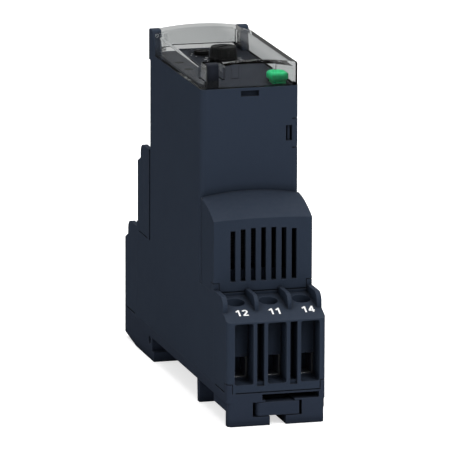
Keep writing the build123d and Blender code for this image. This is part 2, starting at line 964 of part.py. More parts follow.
def selector_knob():
    """The tall setting knob: a flange, a tapered grip and a pointer groove."""
    low = plate_top + knob_gap
    top = low + selector_height
    outline = Polyline(
        (0, low),
        (selector_radius, low),
        (selector_radius, low + selector_flange),
        (selector_waist, low + selector_flange),
        (selector_top_radius, top - selector_bevel),
        (selector_top_radius - selector_bevel, top),
        (0, top),
        close=True,
    )
    knob = Pos(selector_x, selector_y, 0) * revolve(Plane.XZ * make_face(outline), Axis.Z)
    shaft_low = plate_bottom - selector_shaft_radius
    knob += post(selector_x, selector_y, shaft_low, low + shaft_root, selector_shaft_radius)
    return knob - block(
        selector_x - knob_slot_width / 2,
        selector_x + knob_slot_width / 2,
        selector_y - selector_radius,
        selector_y + selector_shaft_radius,
        top - pointer_depth,
        top + 1,
    )


def trimmer_knob():
    """The low round trimmer with a screwdriver slot."""
    low = plate_top + knob_gap
    top = low + trimmer_height
    knob = post(trimmer_x, trimmer_y, low, top, trimmer_radius)
    shaft_low = plate_bottom - trimmer_shaft_radius
    knob += post(trimmer_x, trimmer_y, shaft_low, low + knob_gap, trimmer_shaft_radius)
    half = knob_slot_width / 2
    reach = trimmer_radius + 1
    return knob - block(
        trimmer_x - reach,
        trimmer_x + reach,
        trimmer_y - half,
        trimmer_y + half,
        top - trimmer_slot_depth,
        top + 1,
    )


def test_button():
    """The green push button, dished on top, with its stem through the plate."""
    low = plate_top + button_travel + button_rest_gap
    high = plate_top + button_height
    half_x, half_y = button_width / 2, button_length / 2
    head = block(button_x - half_x, button_x + half_x, button_y - half_y, button_y + half_y, low, high)
    head = fillet(head.edges().filter_by(Axis.Z), button_round)
    head = fillet(head.edges().group_by(Axis.Z)[-1], button_collar)
    stem_x, stem_y = half_x - button_collar, half_y - button_collar
    stem_low = front_board_top + button_stem
    stem = block(
        button_x - stem_x,
        button_x + stem_x,
        button_y - stem_y,
        button_y + stem_y,
        stem_low,
        low + button_rest_gap,
    )
    stem = fillet(stem.edges().filter_by(Axis.Z), button_round - button_collar)
    dish = Pos(button_x, button_y, high + dish_radius - dish_depth) * Sphere(dish_radius)
    return head + stem - dish


def rounded_cover_block(half, near, far, low, side_top, radius):
    """A bar with an arched top and four rounded upright corners."""
    body = crowned_block(half, near, far, low, side_top, cover_crown)
    return fillet(upright_edges(body, half, near) + upright_edges(body, half, far), radius)


def cover_hinge_side(side, far, side_top):
    """What one side of the cover leaves free for its hinge ear, and the arm and pin there."""
    gap_x = half_width - hinge_ear_thickness - hinge_arm_gap
    gap_y = hinge_y - hinge_sweep
    x_pair = sorted((side * gap_x, side * (half_width + 1)))
    room = block(*x_pair, gap_y, half_nose + 1, rim_height - 1, hinge_z)
    room += cross_bar(*x_pair, hinge_y, hinge_z, hinge_sweep)
    top_limit = side_top + cover_crown + 1
    room += block(*x_pair, hinge_y - 0.6 * hinge_sweep, half_nose + 1, hinge_z, top_limit)
    arm_inner = gap_x - hinge_arm_thickness
    arm_pair = sorted((side * gap_x, side * arm_inner))
    arm_low = hinge_z - hinge_inset
    arm_far = far - hinge_arm_inset
    arm = block(*arm_pair, hinge_y - hinge_inset, arm_far, arm_low, side_top - hinge_arm_inset)
    pin_end = half_width - hinge_pin_bed - hinge_pin_gap
    pin_pair = sorted((side * (arm_inner + hinge_pin_root), side * pin_end))
    return room, arm + cross_bar(*pin_pair, hinge_y, hinge_z, hinge_pin_radius)


def cover():
    """The clear sealable cover, hinged at the far end of the rim."""
    half = half_width - cover_inset
    near = -half_nose + cover_inset
    far = half_nose - cover_inset
    low = rim_height + cover_seat_gap
    side_top = rim_height + cover_side_height
    body = rounded_cover_block(half, near, far, low, side_top, nose_edge_radius - cover_inset)
    body = fillet(body.faces().sort_by(Axis.Z)[-1].outer_wire().edges(), cover_edge_radius)
    body -= rounded_cover_block(
        half - cover_wall,
        near + cover_wall,
        far - cover_wall,
        low - 1,
        side_top - cover_wall,
        cover_inner_radius,
    )
    wall_middle = near + cover_wall / 2
    inside = near + cover_wall
    body += block(
        cover_rib_x - cover_rib_width / 2,
        cover_rib_x + cover_rib_width / 2,
        wall_middle,
        inside + cover_rib_depth,
        low + cover_rib_lift,
        side_top,
    )
    body += block(
        cover_pad_x - cover_pad_width / 2,
        cover_pad_x + cover_pad_width / 2,
        wall_middle,
        inside + cover_pad_depth,
        side_top - cover_pad_height,
        side_top,
    )
    window_left = lug_left - latch_window_margin
    window_right = lug_left + lug_width + latch_window_margin
    window_far = -half_nose + lug_setback + lug_depth + latch_window_margin
    window_low = rim_height + latch_sill
    body += block(
        window_left - latch_wall,
        window_right + latch_wall,
        wall_middle,
        window_far + latch_wall,
        window_low,
        side_top,
    )
    body -= block(window_left, window_right, near - 1, window_far, window_low, side_top + cover_crown + 1)
    for side in (-1, 1):
        room, arm = cover_hinge_side(side, far, side_top)
        body = body - room + arm
    gap_x = half_width - hinge_ear_thickness - hinge_arm_gap
    return body - block(
        -gap_x - 0.01, gap_x + 0.01, hinge_y - 0.5, far + 1, low - 1, rim_height + hinge_wall_lift
    )


def main_board():
    """The upright circuit board, as long as the room between the bars' tails."""
    reach = half_upper - bar_end - board_clearance
    return block(
        main_board_left,
        main_board_left + board_thickness,
        -reach,
        reach,
        main_board_bottom,
        front_board_height,
    )


def front_board():
    """The small board under the front plate."""
    reach_x = half_width - side_wall - board_clearance
    reach_y = half_nose - end_wall - board_clearance
    return block(-reach_x, reach_x, -reach_y, reach_y, front_board_height, front_board_top)


def output_relay():
    """The sealed change-over relay on the main board."""
    left = main_board_left + board_thickness
    body = block(
        left, left + relay_height, -relay_length / 2, relay_length / 2, relay_bottom, relay_bottom + relay_width
    )
    return fillet(body.edges().group_by(Axis.X)[-1], relay_round)


def transformer():
    """The small supply transformer: an E-shaped laminated core."""
    left = main_board_left + board_thickness
    half = transformer_length / 2
    top = transformer_bottom + transformer_width
    core = block(left, left + transformer_height, -half, half, transformer_bottom, top)
    yoke = left + core_yoke
    outer = left + transformer_height + 1
    for y_pair in ((-half + core_limb, -core_limb), (core_limb, half - core_limb)):
        core -= block(yoke, outer, *y_pair, transformer_bottom - 1, top + 1)
    return core


def capacitor():
    """The electrolytic capacitor lying across the module."""
    left = main_board_left + board_thickness
    y = -half_nose + end_wall + capacitor_radius + capacitor_setback
    z = capacitor_bottom + capacitor_radius
    body = cross_bar(left, left + capacitor_length, y, z, capacitor_radius)
    ring_x = left + capacitor_groove_start
    ring = cross_bar(ring_x, ring_x + capacitor_groove_width, y, z, capacitor_radius + 1)
    ring -= cross_bar(ring_x - 1, ring_x + 2, y, z, capacitor_radius - capacitor_groove)
    return body - ring


def board_part(x, y, size, height, hole_radius):
    """A square part on the front board with a hole for a shaft."""
    low = front_board_top
    body = block(x - size / 2, x + size / 2, y - size / 2, y + size / 2, low, low + height)
    return body - post(x, y, low + pot_floor, low + height + 1, hole_radius)


def lamp(y):
    """A small indicator lamp under its light guide."""
    low = front_board_top
    body = post(guide_x, y, low, low + lamp_height, lamp_radius)
    return body + post(guide_x, y, low, low + lamp_collar_height, lamp_radius + lamp_collar)


def place_rows(shape):
    """The same loose piece at its three rows: near, far lower and far upper."""
    near = Pos(0, -half_length, 0) * shape
    far_lower = mirrored(near)
    far_upper = mirrored(Pos(0, -half_upper, row_step) * shape)
    return {"near": near, "far_lower": far_lower, "far_upper": far_upper}


def build():
    """All the nodes by name."""
    plate_room = plate_bottom - front_board_top
    nodes = {
        "housing": housing(),
        "vent_cover": vent_cover(),
        "rail_base": rail_base(),
        "rail_clip": rail_clip(),
        "clip_spring": clip_spring(),
        "front_plate": front_plate(),
        "cover": cover(),
        "selector_knob": selector_knob(),
        "trimmer_knob": trimmer_knob(),
        "test_button": test_button(),
        "main_board": main_board(),
        "front_board": front_board(),
        "output_relay": output_relay(),
        "transformer": transformer(),
        "capacitor": capacitor(),
        "selector_potentiometer": board_part(
            selector_x, selector_y, pot_size, plate_room, selector_shaft_radius + shaft_clearance
        ),
        "trimmer_potentiometer": board_part(
            trimmer_x, trimmer_y, trimmer_size, plate_room, trimmer_shaft_radius + shaft_clearance
        ),
    }
    nodes["button_switch"] = block(
        button_x - switch_size / 2,
        button_x + switch_size / 2,
        button_y - switch_size / 2,
        button_y + switch_size / 2,
        front_board_top,
        front_board_top + button_stem - button_travel - button_rest_gap,
    )
    for number, y in enumerate((guide_near_y, guide_far_y), start=1):
        nodes[f"light_guide_{number}"] = light_guide(y)
        nodes[f"lamp_{number}"] = lamp(y)
    nodes["near_terminal_block"] = Pos(0, -half_length, 0) * terminal_block(near_depth)
    nodes["far_lower_terminal_block"] = mirrored(nodes["near_terminal_block"])
    upper = Pos(0, -half_upper, row_step) * terminal_block(upper_depth)
    nodes["far_upper_terminal_block"] = mirrored(upper)
    for row, bars in place_rows(contact_bars()).items():
        nodes[f"{row}_contact_bars"] = bars
    for index, x in enumerate(terminal_x, start=1):
        seat = Pos(x, screw_depth, 0)
        for row, piece in place_rows(seat * clamp_screw()).items():
            nodes[f"{row}_screw_{index}"] = piece
        for row, piece in place_rows(seat * clamp_cage()).items():
            nodes[f"{row}_clamp_{index}"] = piece
    return nodes


os.makedirs("parts", exist_ok=True)
for name, shape in build().items():
    export_step(shape, f"parts/{name}.step")
print("screw turn ratio, metres per radian:", screw_pitch / 1000 / tau)
print("screw travel, degrees:", 360 * cage_travel / screw_pitch)
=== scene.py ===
"""Dresses the level control relay: moulded plastics, clear cover, knobs, screws and printed marks."""
import math

import bmesh
import bpy
from bpy.props import FloatProperty, FloatVectorProperty, IntProperty, PointerProperty
from mathutils import Matrix, Vector


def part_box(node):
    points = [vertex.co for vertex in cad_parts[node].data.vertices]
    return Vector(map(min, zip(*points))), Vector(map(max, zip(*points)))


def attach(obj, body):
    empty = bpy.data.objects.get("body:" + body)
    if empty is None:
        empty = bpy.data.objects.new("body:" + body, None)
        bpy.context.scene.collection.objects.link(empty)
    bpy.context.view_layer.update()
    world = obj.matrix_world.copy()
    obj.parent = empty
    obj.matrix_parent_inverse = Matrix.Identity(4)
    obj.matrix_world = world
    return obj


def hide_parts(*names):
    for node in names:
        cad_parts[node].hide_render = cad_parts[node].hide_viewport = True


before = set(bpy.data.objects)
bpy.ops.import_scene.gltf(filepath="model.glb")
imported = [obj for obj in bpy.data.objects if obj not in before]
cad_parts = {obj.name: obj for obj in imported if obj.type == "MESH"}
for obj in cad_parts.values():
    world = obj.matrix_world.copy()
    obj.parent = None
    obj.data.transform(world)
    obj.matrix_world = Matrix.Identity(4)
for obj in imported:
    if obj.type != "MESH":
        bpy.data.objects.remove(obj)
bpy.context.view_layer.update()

bl_info = {
    "name": "Level Control Relay Dressing",
    "version": (1, 0, 0),
    "blender": (4, 5, 0),
    "location": "View3D > Sidebar > Relay",
    "description": "Finishes, marks and fittings for a rail-mounted level control relay",
    "category": "Object",
}

MM = 0.001
ROOT = "relay_body"
TERMINAL_NUMBERS = {"near": ("12", "11", "14"), "far_lower": ("1", "2", "3"), "far_upper": ("4", "5", "6")}
LABEL_BASE = 16.0 * MM
LABEL_SLOPE = math.atan2(2.4, 5.35)
NUMBER_DEPTH = 3.25 * MM
NUMBER_SHIFT = 0.3 * MM
PLATE_LIFT = 5.5 * MM
LAMP_SHADE = 0.25
FLOOR_GLOW = 0.62
FLAG_HALF = 0.06
FLAG_SOFT = 0.08
FLAG_LIGHT = 0.015
PHOTO_PIXELS = 450
FOCAL_PIXELS = 7036.77
CAMERA_ANGLES = (-15.2875, 12.38, 0.1401)
CAMERA_AIM = Vector((0, 0, 0.04))
CAMERA_DISTANCE = 1.5798


def srgb(red, green, blue):
    """A colour given as 0 to 255 steps, as the linear values that shaders take."""
    linear = []
    for step in (red, green, blue):
        share = step / 255
        linear.append(share / 12.92 if share <= 0.04045 else ((share + 0.055) / 1.055) ** 2.4)
    return tuple(linear)


def colour_setting(name, description, default):
    """One colour in a settings group."""
    return FloatVectorProperty(
        name=name, description=description, subtype="COLOR", size=3, min=0, max=1, default=default
    )


def length_setting(name, description, millimetres):
    """One length in a settings group, given in millimetres."""
    return FloatProperty(
        name=name, description=description, default=millimetres * MM, min=0, unit="LENGTH", precision=5
    )


def angle_setting(name, description, default):
    """One angle in a settings group, in radians."""
    return FloatProperty(name=name, description=description, default=default, subtype="ANGLE")


def share_setting(name, description, default):
    """One factor from 0 to 1 in a settings group."""
    return FloatProperty(name=name, description=description, default=default, min=0, max=1, subtype="FACTOR")


class RelayPlastics(bpy.types.PropertyGroup):
    """Colours and grain of the moulded pieces."""

    housing_colour: colour_setting("Housing", "Pigment of the shell and terminal blocks", srgb(41, 49, 62))
    foot_colour: colour_setting("Foot", "Pigment of the rail foot and clip", srgb(40, 47, 60))
    plate_colour: colour_setting("Front plate", "Colour of the printed front plate", srgb(31, 34, 42))
    knob_colour: colour_setting("Knobs", "Pigment of the setting knobs", srgb(33, 33, 33))
    button_colour: colour_setting("Button", "Pigment of the push button", srgb(42, 176, 112))
    cover_tint: colour_setting("Cover", "Tint of the clear cover", srgb(238, 240, 240))
    cover_coat: share_setting("Cover gloss", "How strongly the clear cover mirrors the room", 0.3)
    grain_size: length_setting("Grain size", "Width of one pit of the moulded grain", 0.16)
    grain_depth: share_setting("Grain depth", "How strongly the grain shows", 0.22)
    edge_radius: length_setting("Edge radius", "Rounding that light sees on moulded edges", 0.22)
    # Polishes the edges and lightens their colour as a painted highlight.
    edge_polish_and_highlight: share_setting("Edge polish and highlight", "How much edges are polished and lightened by a painted highlight", 0.16)
    # Strength of the painted shade that darkens slots, creases and corners.
    crease_shade: FloatProperty(
        name="Crease shade", description="How strongly painted shade darkens slots and corners", default=1.5, min=0
    )
    roughness: share_setting("Roughness", "Roughness of the moulded faces", 0.56)
    sheen: share_setting("Specular level", "How strongly the moulded faces mirror light", 0.03)


class RelayMetals(bpy.types.PropertyGroup):
    """Colours of the screws, clamps, bars and spring."""

    zinc_colour: colour_setting("Zinc", "Plating of the screws and clamps", srgb(176, 179, 182))
    tin_colour: colour_setting("Tin", "Plating of the contact bars", srgb(205, 200, 186))
    spring_colour: colour_setting("Spring", "Drawn spring wire", srgb(150, 152, 156))
    roughness: share_setting("Roughness", "Roughness of the plating", 0.34)


class RelayMarks(bpy.types.PropertyGroup):
    """Printed terminal numbers and dial marks."""

    ink_colour: colour_setting("Ink", "Colour of the printing", srgb(243, 243, 243))
    digit_height: length_setting("Digit height", "Height of the terminal numbers", 2.15)
    stroke_width: length_setting("Stroke width", "Width of the numbers' strokes", 0.38)
    digit_pitch: length_setting("Digit pitch", "Distance between two digits of one number", 1.55)
    ink_thickness: length_setting("Ink thickness", "How far the printing stands up", 0.02)
    dial_steps: IntProperty(name="Dial steps", description="Marks on the large dial", default=11, min=3)
    dial_gap: length_setting("Dial gap", "Room between knob and marks", 0.45)
    dial_sweep: angle_setting("Dial sweep", "Angle covered by the marks", math.radians(270))


class RelayFittings(bpy.types.PropertyGroup):
    """Sizes of the screws and the knobs' grips."""

    thread_pitch: length_setting("Thread pitch", "Rise of the thread in one turn", 0.6)
    thread_depth: length_setting("Thread depth", "Depth of the thread", 0.16)
    head_height: length_setting("Head height", "Height of the screw's head", 2.0)
    shank_radius: length_setting("Shank radius", "Radius over the thread", 1.4)
    recess_width: length_setting("Recess width", "Width of the driver recess", 0.7)
    recess_length: length_setting("Recess length", "Length of the driver recess", 2.9)
    recess_depth: length_setting("Recess depth", "Depth of the driver recess", 1.1)
    knob_height: length_setting("Knob height", "Height of the large knob's grip", 2.9)
    knob_seat: length_setting("Knob seat", "How far the grip's foot lies below the knob's top", 3.6)
    groove_width: length_setting("Groove width", "Width of the pointer groove", 0.7)
    groove_length: length_setting("Groove length", "Length of the pointer groove", 3.4)
    groove_shift: length_setting("Groove shift", "How far the groove lies off the knob's middle", 0.7)
    knob_turn: angle_setting("Knob turn", "Where the pointer groove stands", -0.96)
    knob_ribs: IntProperty(name="Knob ribs", description="Grip ribs round the large knob", default=28, min=6)
    rib_depth: length_setting("Rib depth", "Depth of the grip ribs", 0.05)


class RelayStudio(bpy.types.PropertyGroup):
    """Floor, lamps and background."""

    floor_colour: colour_setting("Floor", "Colour of the floor", (0.8, 0.8, 0.8))
    key_power: FloatProperty(name="Key", description="Power of the main soft lamp", default=6.6, unit="POWER")
    fill_power: FloatProperty(name="Fill", description="Power of the fill lamp", default=2.3, unit="POWER")
    top_power: FloatProperty(name="Top", description="Power of the overhead lamp", default=6.6, unit="POWER")
    surround: share_setting("Surround", "Strength of the room's even light", 0.42)
    mirrored: share_setting("Mirrored room", "Brightness of the room in shiny faces", 0.35)
    mirrored_floor: share_setting("Mirrored floor", "Brightness of the floor in shiny faces", 0.035)
    flag_height: share_setting("Flag height", "Rise of the black flag over the cover's roof", 0.215)


SETTINGS = {
    "relay_plastics": RelayPlastics,
    "relay_metals": RelayMetals,
    "relay_marks": RelayMarks,
    "relay_fittings": RelayFittings,
    "relay_studio": RelayStudio,
}


class Graph:
    """Builds a node tree by short calls."""

    def __init__(self, tree):
        self.tree = tree

    def add(self, kind, inputs=None, **settings):
        """A new node, with its settings, and its inputs as values or as sockets to link."""
        node = self.tree.nodes.new(kind)
        for name, value in settings.items():
            setattr(node, name, value)
        for key, value in (inputs or {}).items():
            if isinstance(value, bpy.types.NodeSocket):
                self.tree.links.new(value, node.inputs[key])
            else:
                node.inputs[key].default_value = value
        return node

    def math(self, operation, first, second=0.0, clamp=False):
        """The result of one sum in the tree."""
        kind = "ShaderNodeMath"
        return self.add(kind, {0: first, 1: second}, operation=operation, use_clamp=clamp).outputs[0]

    def mix(self, share, first, second, blend="MIX"):
        """A mix of two colours."""
        node = self.add("ShaderNodeMix", {0: share, 6: first, 7: second}, data_type="RGBA", blend_type=blend)
        return node.outputs[2]

    def link(self, source, target):
        self.tree.links.new(source, target)

    def place(self):
        """The piece's own coordinates."""
        return self.add("ShaderNodeTexCoord").outputs["Object"]

    def noise(self, place, scale, detail, **more):
        """Soft noise from 0 to 1 over the given coordinates."""
        inputs = {"Vector": place, "Scale": scale, "Detail": detail, **more}
        return self.add("ShaderNodeTexNoise", inputs).outputs["Fac"]

    def relief(self, shader, strength, distance, height, **more):
        """A bump on a shader's normal."""
        inputs = {"Strength": strength, "Distance": distance, "Height": height, **more}
        self.link(self.add("ShaderNodeBump", inputs).outputs[0], shader.inputs["Normal"])


def tree_socket(tree, name, kind, default=None, output=False):
    """A named input or output of a node group."""
    direction = "OUTPUT" if output else "INPUT"
    socket = tree.interface.new_socket(name=name, in_out=direction, socket_type=kind)
    if default is not None:
        socket.default_value = default


def shader_group(name, given, kinds):
    """A shader group with one number to set, as its graph, inputs and outputs."""
    tree = bpy.data.node_groups.new(name, "ShaderNodeTree")
    tree_socket(tree, given, "NodeSocketFloat")
    for made, kind in kinds.items():
        tree_socket(tree, made, f"NodeSocket{kind}", output=True)
    graph = Graph(tree)
    return graph, graph.add("NodeGroupInput").outputs, graph.add("NodeGroupOutput").inputs


def moulded_grain_group():
    """Fine pits of a spark-eroded mould, and slow changes of tone."""
    graph, given, made = shader_group("Moulded Grain", "Size", {"Height": "Float", "Tone": "Float"})
    place = graph.place()
    scale = graph.math("DIVIDE", 1.0, given["Size"])
    pits = graph.noise(place, scale, 2.0, Roughness=0.6)
    coarse = graph.math("MULTIPLY", scale, 0.37)
    cells = graph.add("ShaderNodeTexVoronoi", {"Vector": place, "Scale": coarse}, feature="SMOOTH_F1")
    height = graph.math("ADD", pits, graph.math("MULTIPLY", cells.outputs["Distance"], 0.5))
    graph.link(height, made["Height"])
    slow = graph.noise(place, 65.0, 3.0)
    tone = graph.math("ADD", graph.math("MULTIPLY", slow, 0.7), 0.15)
    fine = graph.math("MULTIPLY", pits, 0.3)
    graph.link(graph.math("ADD", tone, fine, clamp=True), made["Tone"])


def soft_edge_group():
    """Rounded normals at sharp edges, and a mask of where they are."""
    graph, given, made = shader_group("Soft Edges", "Radius", {"Normal": "Vector", "Edge": "Float"})
    bevel = graph.add("ShaderNodeBevel", {"Radius": given["Radius"]}, samples=6)
    flat = graph.add("ShaderNodeNewGeometry").outputs["Normal"]
    turned = graph.add("ShaderNodeVectorMath", {0: bevel.outputs[0], 1: flat}, operation="DOT_PRODUCT")
    share = graph.math("SUBTRACT", 1.0, turned.outputs["Value"])
    graph.link(bevel.outputs[0], made["Normal"])
    graph.link(graph.math("MULTIPLY", share, 3.4, clamp=True), made["Edge"])


def handling_group():
    """Faint dust on upward faces and smears from handling."""
    graph, given, made = shader_group("Handling", "Amount", {"Dust": "Float", "Smear": "Float"})
    place = graph.place()
    normal = graph.add("ShaderNodeNewGeometry").outputs["Normal"]
    upward = graph.add("ShaderNodeSeparateXYZ", {0: normal}).outputs["Z"]
    lies = graph.math("MULTIPLY", graph.math("MAXIMUM", upward, 0.0), graph.noise(place, 900.0, 4.0))
    graph.link(graph.math("MULTIPLY", lies, given["Amount"], clamp=True), made["Dust"])
    smears = graph.noise(place, 140.0, 5.0, Distortion=1.2)
    graph.link(graph.math("MULTIPLY", smears, given["Amount"]), made["Smear"])


def new_material(name):
    """An empty material with its graph, Principled shader and output."""
    material = bpy.data.materials.new(name)
    material.use_nodes = True
    material.node_tree.nodes.clear()
    graph = Graph(material.node_tree)
    output = graph.add("ShaderNodeOutputMaterial")
    shader = graph.add("ShaderNodeBsdfPrincipled")
    graph.link(shader.outputs[0], output.inputs["Surface"])
    return material, graph, shader


def group_node(graph, name, inputs):
    """One of the shared shader groups, placed in a material."""
    tree = bpy.data.node_groups[name]
    return graph.add("ShaderNodeGroup", inputs, node_tree=tree)


def rgba(colour, factor=1.0):
    """A colour with its alpha, lightened or darkened by a factor."""
    return tuple(min(1.0, c * factor) for c in colour) + (1.0,)


def moulded_material(name, colour, roughness, grain, edge=None):
    """A moulded plastic with mould grain, edges polished and lightened by a painted highlight, painted shade
    in creases, and traces of handling.
    """
    plastics = bpy.context.scene.relay_plastics
    material, graph, shader = new_material(name)
    texture = group_node(graph, "Moulded Grain", {"Size": plastics.grain_size})
    edges = group_node(graph, "Soft Edges", {"Radius": plastics.edge_radius if edge is None else edge})
    traces = group_node(graph, "Handling", {"Amount": 0.25})
    tone = graph.mix(texture.outputs["Tone"], rgba(colour, 0.93), rgba(colour, 1.07))
    # Painted shade: ambient occlusion darkens the base colour in slots, creases and corners.
    crease = graph.add("ShaderNodeAmbientOcclusion", {"Distance": 2.0 * MM}, samples=8).outputs["AO"]
    open_share = graph.math("POWER", crease, plastics.crease_shade)
    tone = graph.mix(open_share, rgba(colour, 0.3), tone)
    # Painted highlight: the edge mask lightens the base colour. The same mask also lowers the roughness
    # there, which is real polish.
    light = tuple(c + (1 - c) * 0.08 for c in colour)
    rubbed = graph.math("MULTIPLY", edges.outputs["Edge"], plastics.edge_polish_and_highlight)
    edge_highlit = graph.mix(rubbed, tone, rgba(light))
    dusty = graph.mix(graph.math("MULTIPLY", traces.outputs["Dust"], 0.1), edge_highlit, rgba((0.42, 0.42, 0.41)))
    graph.link(dusty, shader.inputs["Base Color"])
    rough = graph.math("ADD", graph.math("MULTIPLY", traces.outputs["Smear"], 0.22), roughness - 0.03)
    graph.link(
        graph.math("SUBTRACT", rough, graph.math("MULTIPLY", rubbed, 0.5), clamp=True),
        shader.inputs["Roughness"],
    )
    depth = plastics.grain_size * 0.2
    graph.relief(shader, grain, depth, texture.outputs["Height"], Normal=edges.outputs["Normal"])
    shader.inputs["Specular IOR Level"].default_value = plastics.sheen
    shader.inputs["IOR"].default_value = 1.5
    return material


def clear_material(name, tint, roughness, ior, coat=0.0):
    """A clear moulding that lets lamps through to what it shuts in."""
    material, graph, shader = new_material(name)
    smears = group_node(graph, "Handling", {"Amount": 0.5}).outputs["Smear"]
    graph.link(graph.mix(smears, rgba(tint), rgba(tint, 0.96)), shader.inputs["Base Color"])
    rough = graph.math("ADD", graph.math("MULTIPLY", smears, 0.012), roughness)
    graph.link(rough, shader.inputs["Roughness"])
    shader.inputs["Transmission Weight"].default_value = 1.0
    shader.inputs["Coat Weight"].default_value = coat
    shader.inputs["Coat Roughness"].default_value = 0.02
    shader.inputs["Metallic"].default_value = 0.0
    shader.inputs["IOR"].default_value = ior
    seen_by_lamps = graph.add("ShaderNodeLightPath").outputs["Is Shadow Ray"]
    open_way = graph.add("ShaderNodeBsdfTransparent", {"Color": rgba(tint, 1 - LAMP_SHADE)})
    output = next(n for n in graph.tree.nodes if n.type == "OUTPUT_MATERIAL")
    mixed = graph.add("ShaderNodeMixShader", {0: seen_by_lamps, 1: shader.outputs[0], 2: open_way.outputs[0]})
    graph.link(mixed.outputs[0], output.inputs["Surface"])
    return material


def plated_material(name, colour, roughness, brushing=900.0):
    """Plated or drawn metal with fine scratches and rubbed edges."""
    material, graph, shader = new_material(name)
    stretch = graph.add("ShaderNodeMapping", {"Vector": graph.place(), "Scale": (1.0, 1.0, 9.0)})
    scratches = graph.noise(stretch.outputs[0], brushing, 4.0)
    edges = group_node(graph, "Soft Edges", {"Radius": 0.08 * MM})
    tone = graph.mix(scratches, rgba(colour, 0.82), rgba(colour, 1.1))
    graph.link(graph.mix(edges.outputs["Edge"], tone, rgba(colour, 1.25)), shader.inputs["Base Color"])
    spread = graph.math("ADD", graph.math("MULTIPLY", scratches, 0.22), roughness - 0.1)
    graph.link(spread, shader.inputs["Roughness"])
    graph.relief(shader, 0.12, 0.02 * MM, scratches, Normal=edges.outputs["Normal"])
    shader.inputs["Metallic"].default_value = 1.0
    return material


def ink_material(name, colour):
    """Opaque printing ink with a slightly uneven film."""
    material, graph, shader = new_material(name)
    film = graph.noise(graph.place(), 2600.0, 3.0)
    graph.link(graph.mix(film, rgba(colour, 0.92), rgba(colour)), shader.inputs["Base Color"])
    graph.link(graph.math("ADD", graph.math("MULTIPLY", film, 0.2), 0.45), shader.inputs["Roughness"])
    return material


def board_material(name):
    """Green circuit board laminate with copper tracks under the mask."""
    material, graph, shader = new_material(name)
    place = graph.place()
    tracks = graph.add(
        "ShaderNodeTexVoronoi", {"Vector": place, "Scale": 260.0}, feature="F1", distance="CHEBYCHEV"
    ).outputs["Distance"]
    on_track = graph.math("GREATER_THAN", tracks, 0.42)
    mask = graph.mix(on_track, rgba(srgb(18, 82, 48)), rgba(srgb(32, 112, 66)))
    graph.link(mask, shader.inputs["Base Color"])
    weave = graph.noise(place, 1500.0, 2.0)
    graph.link(graph.math("ADD", graph.math("MULTIPLY", weave, 0.2), 0.25), shader.inputs["Roughness"])
    graph.relief(shader, 0.25, 0.04 * MM, on_track)
    return material


def laminated_material(name, colour):
    """Stacked core sheets, seen as fine lines across the stack."""
    material, graph, shader = new_material(name)
    waves = {"Vector": graph.place(), "Scale": 480.0, "Distortion": 0.4}
    sheets = graph.add("ShaderNodeTexWave", waves, bands_direction="Z").outputs["Fac"]
    graph.link(graph.mix(sheets, rgba(colour, 0.55), rgba(colour, 1.2)), shader.inputs["Base Color"])
    shader.inputs["Metallic"].default_value = 0.7
    graph.link(graph.math("ADD", graph.math("MULTIPLY", sheets, 0.2), 0.35), shader.inputs["Roughness"])
    graph.relief(shader, 0.4, 0.05 * MM, sheets)
    return material


def floor_material(colour, mirrored):
    """A pale floor that stays white round the object and keeps its shadow."""
    material, graph, shader = new_material("Studio Floor")
    path = graph.add("ShaderNodeLightPath").outputs
    seen = graph.math("MAXIMUM", path["Is Camera Ray"], path["Is Transmission Ray"])
    in_mirror = graph.math("MULTIPLY", path["Is Glossy Ray"], mirrored)
    shade = graph.mix(path["Is Glossy Ray"], rgba(colour), rgba(colour, mirrored))
    graph.link(shade, shader.inputs["Base Color"])
    shader.inputs["Roughness"].default_value = 0.9
    shader.inputs["Specular IOR Level"].default_value = 0.0
    shader.inputs["Emission Color"].default_value = (1.0, 1.0, 1.0, 1.0)
    lit = graph.math("MAXIMUM", graph.math("MULTIPLY", seen, FLOOR_GLOW), in_mirror)
    graph.link(lit, shader.inputs["Emission Strength"])
    return material


def place_piece(name, mesh, body, material):
    """A finished piece at the origin, riding on its body."""
    piece = bpy.data.objects.new(name, mesh)
    bpy.context.scene.collection.objects.link(piece)
    mesh.materials.clear()
    mesh.materials.append(material)
    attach(piece, body)
    return piece


def with_sharp_edges(graph, shape, limit):
    """Smooth shading of all edges but those that turn by more than a limit."""
    smooth = graph.add("GeometryNodeSetShadeSmooth", {"Geometry": shape})
    angle = graph.add("GeometryNodeInputMeshEdgeAngle").outputs["Unsigned Angle"]
    sides = {0: angle, 1: limit}
    sharp = graph.add("FunctionNodeCompare", sides, data_type="FLOAT", operation="GREATER_THAN")
    inputs = {"Geometry": smooth.outputs[0], "Name": "sharp_edge", "Value": sharp.outputs[0]}
    marked = graph.add("GeometryNodeStoreNamedAttribute", inputs, data_type="BOOLEAN", domain="EDGE")
    return marked.outputs[0]


def smooth_shading_tree():
    """Joins a CAD node's triangles and smooths all but its sharp edges."""
    tree = bpy.data.node_groups.new("Moulding Shading", "GeometryNodeTree")
    tree_socket(tree, "Geometry", "NodeSocketGeometry")
    tree_socket(tree, "Sharp Angle", "NodeSocketFloat", math.radians(28))
    tree_socket(tree, "Geometry", "NodeSocketGeometry", output=True)
    graph = Graph(tree)
    given = graph.add("NodeGroupInput")
    made = graph.add("NodeGroupOutput")
    joined = graph.add(
        "GeometryNodeMergeByDistance", {"Geometry": given.outputs["Geometry"], "Distance": 1e-6}
    )
    shaded = with_sharp_edges(graph, joined.outputs[0], given.outputs["Sharp Angle"])
    graph.link(shaded, made.inputs["Geometry"])


def finish_node(name, material):
    """Gives a CAD node its material and smooth shading between sharp edges."""
    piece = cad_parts[name]
    piece.data.materials.clear()
    piece.data.materials.append(material)
    shading = piece.modifiers.new("Moulding Shading", "NODES")
    shading.node_group = bpy.data.node_groups["Moulding Shading"]
    weighting = piece.modifiers.new("Flat Faces", "WEIGHTED_NORMAL")
    weighting.keep_sharp = True
    weighting.weight = 100


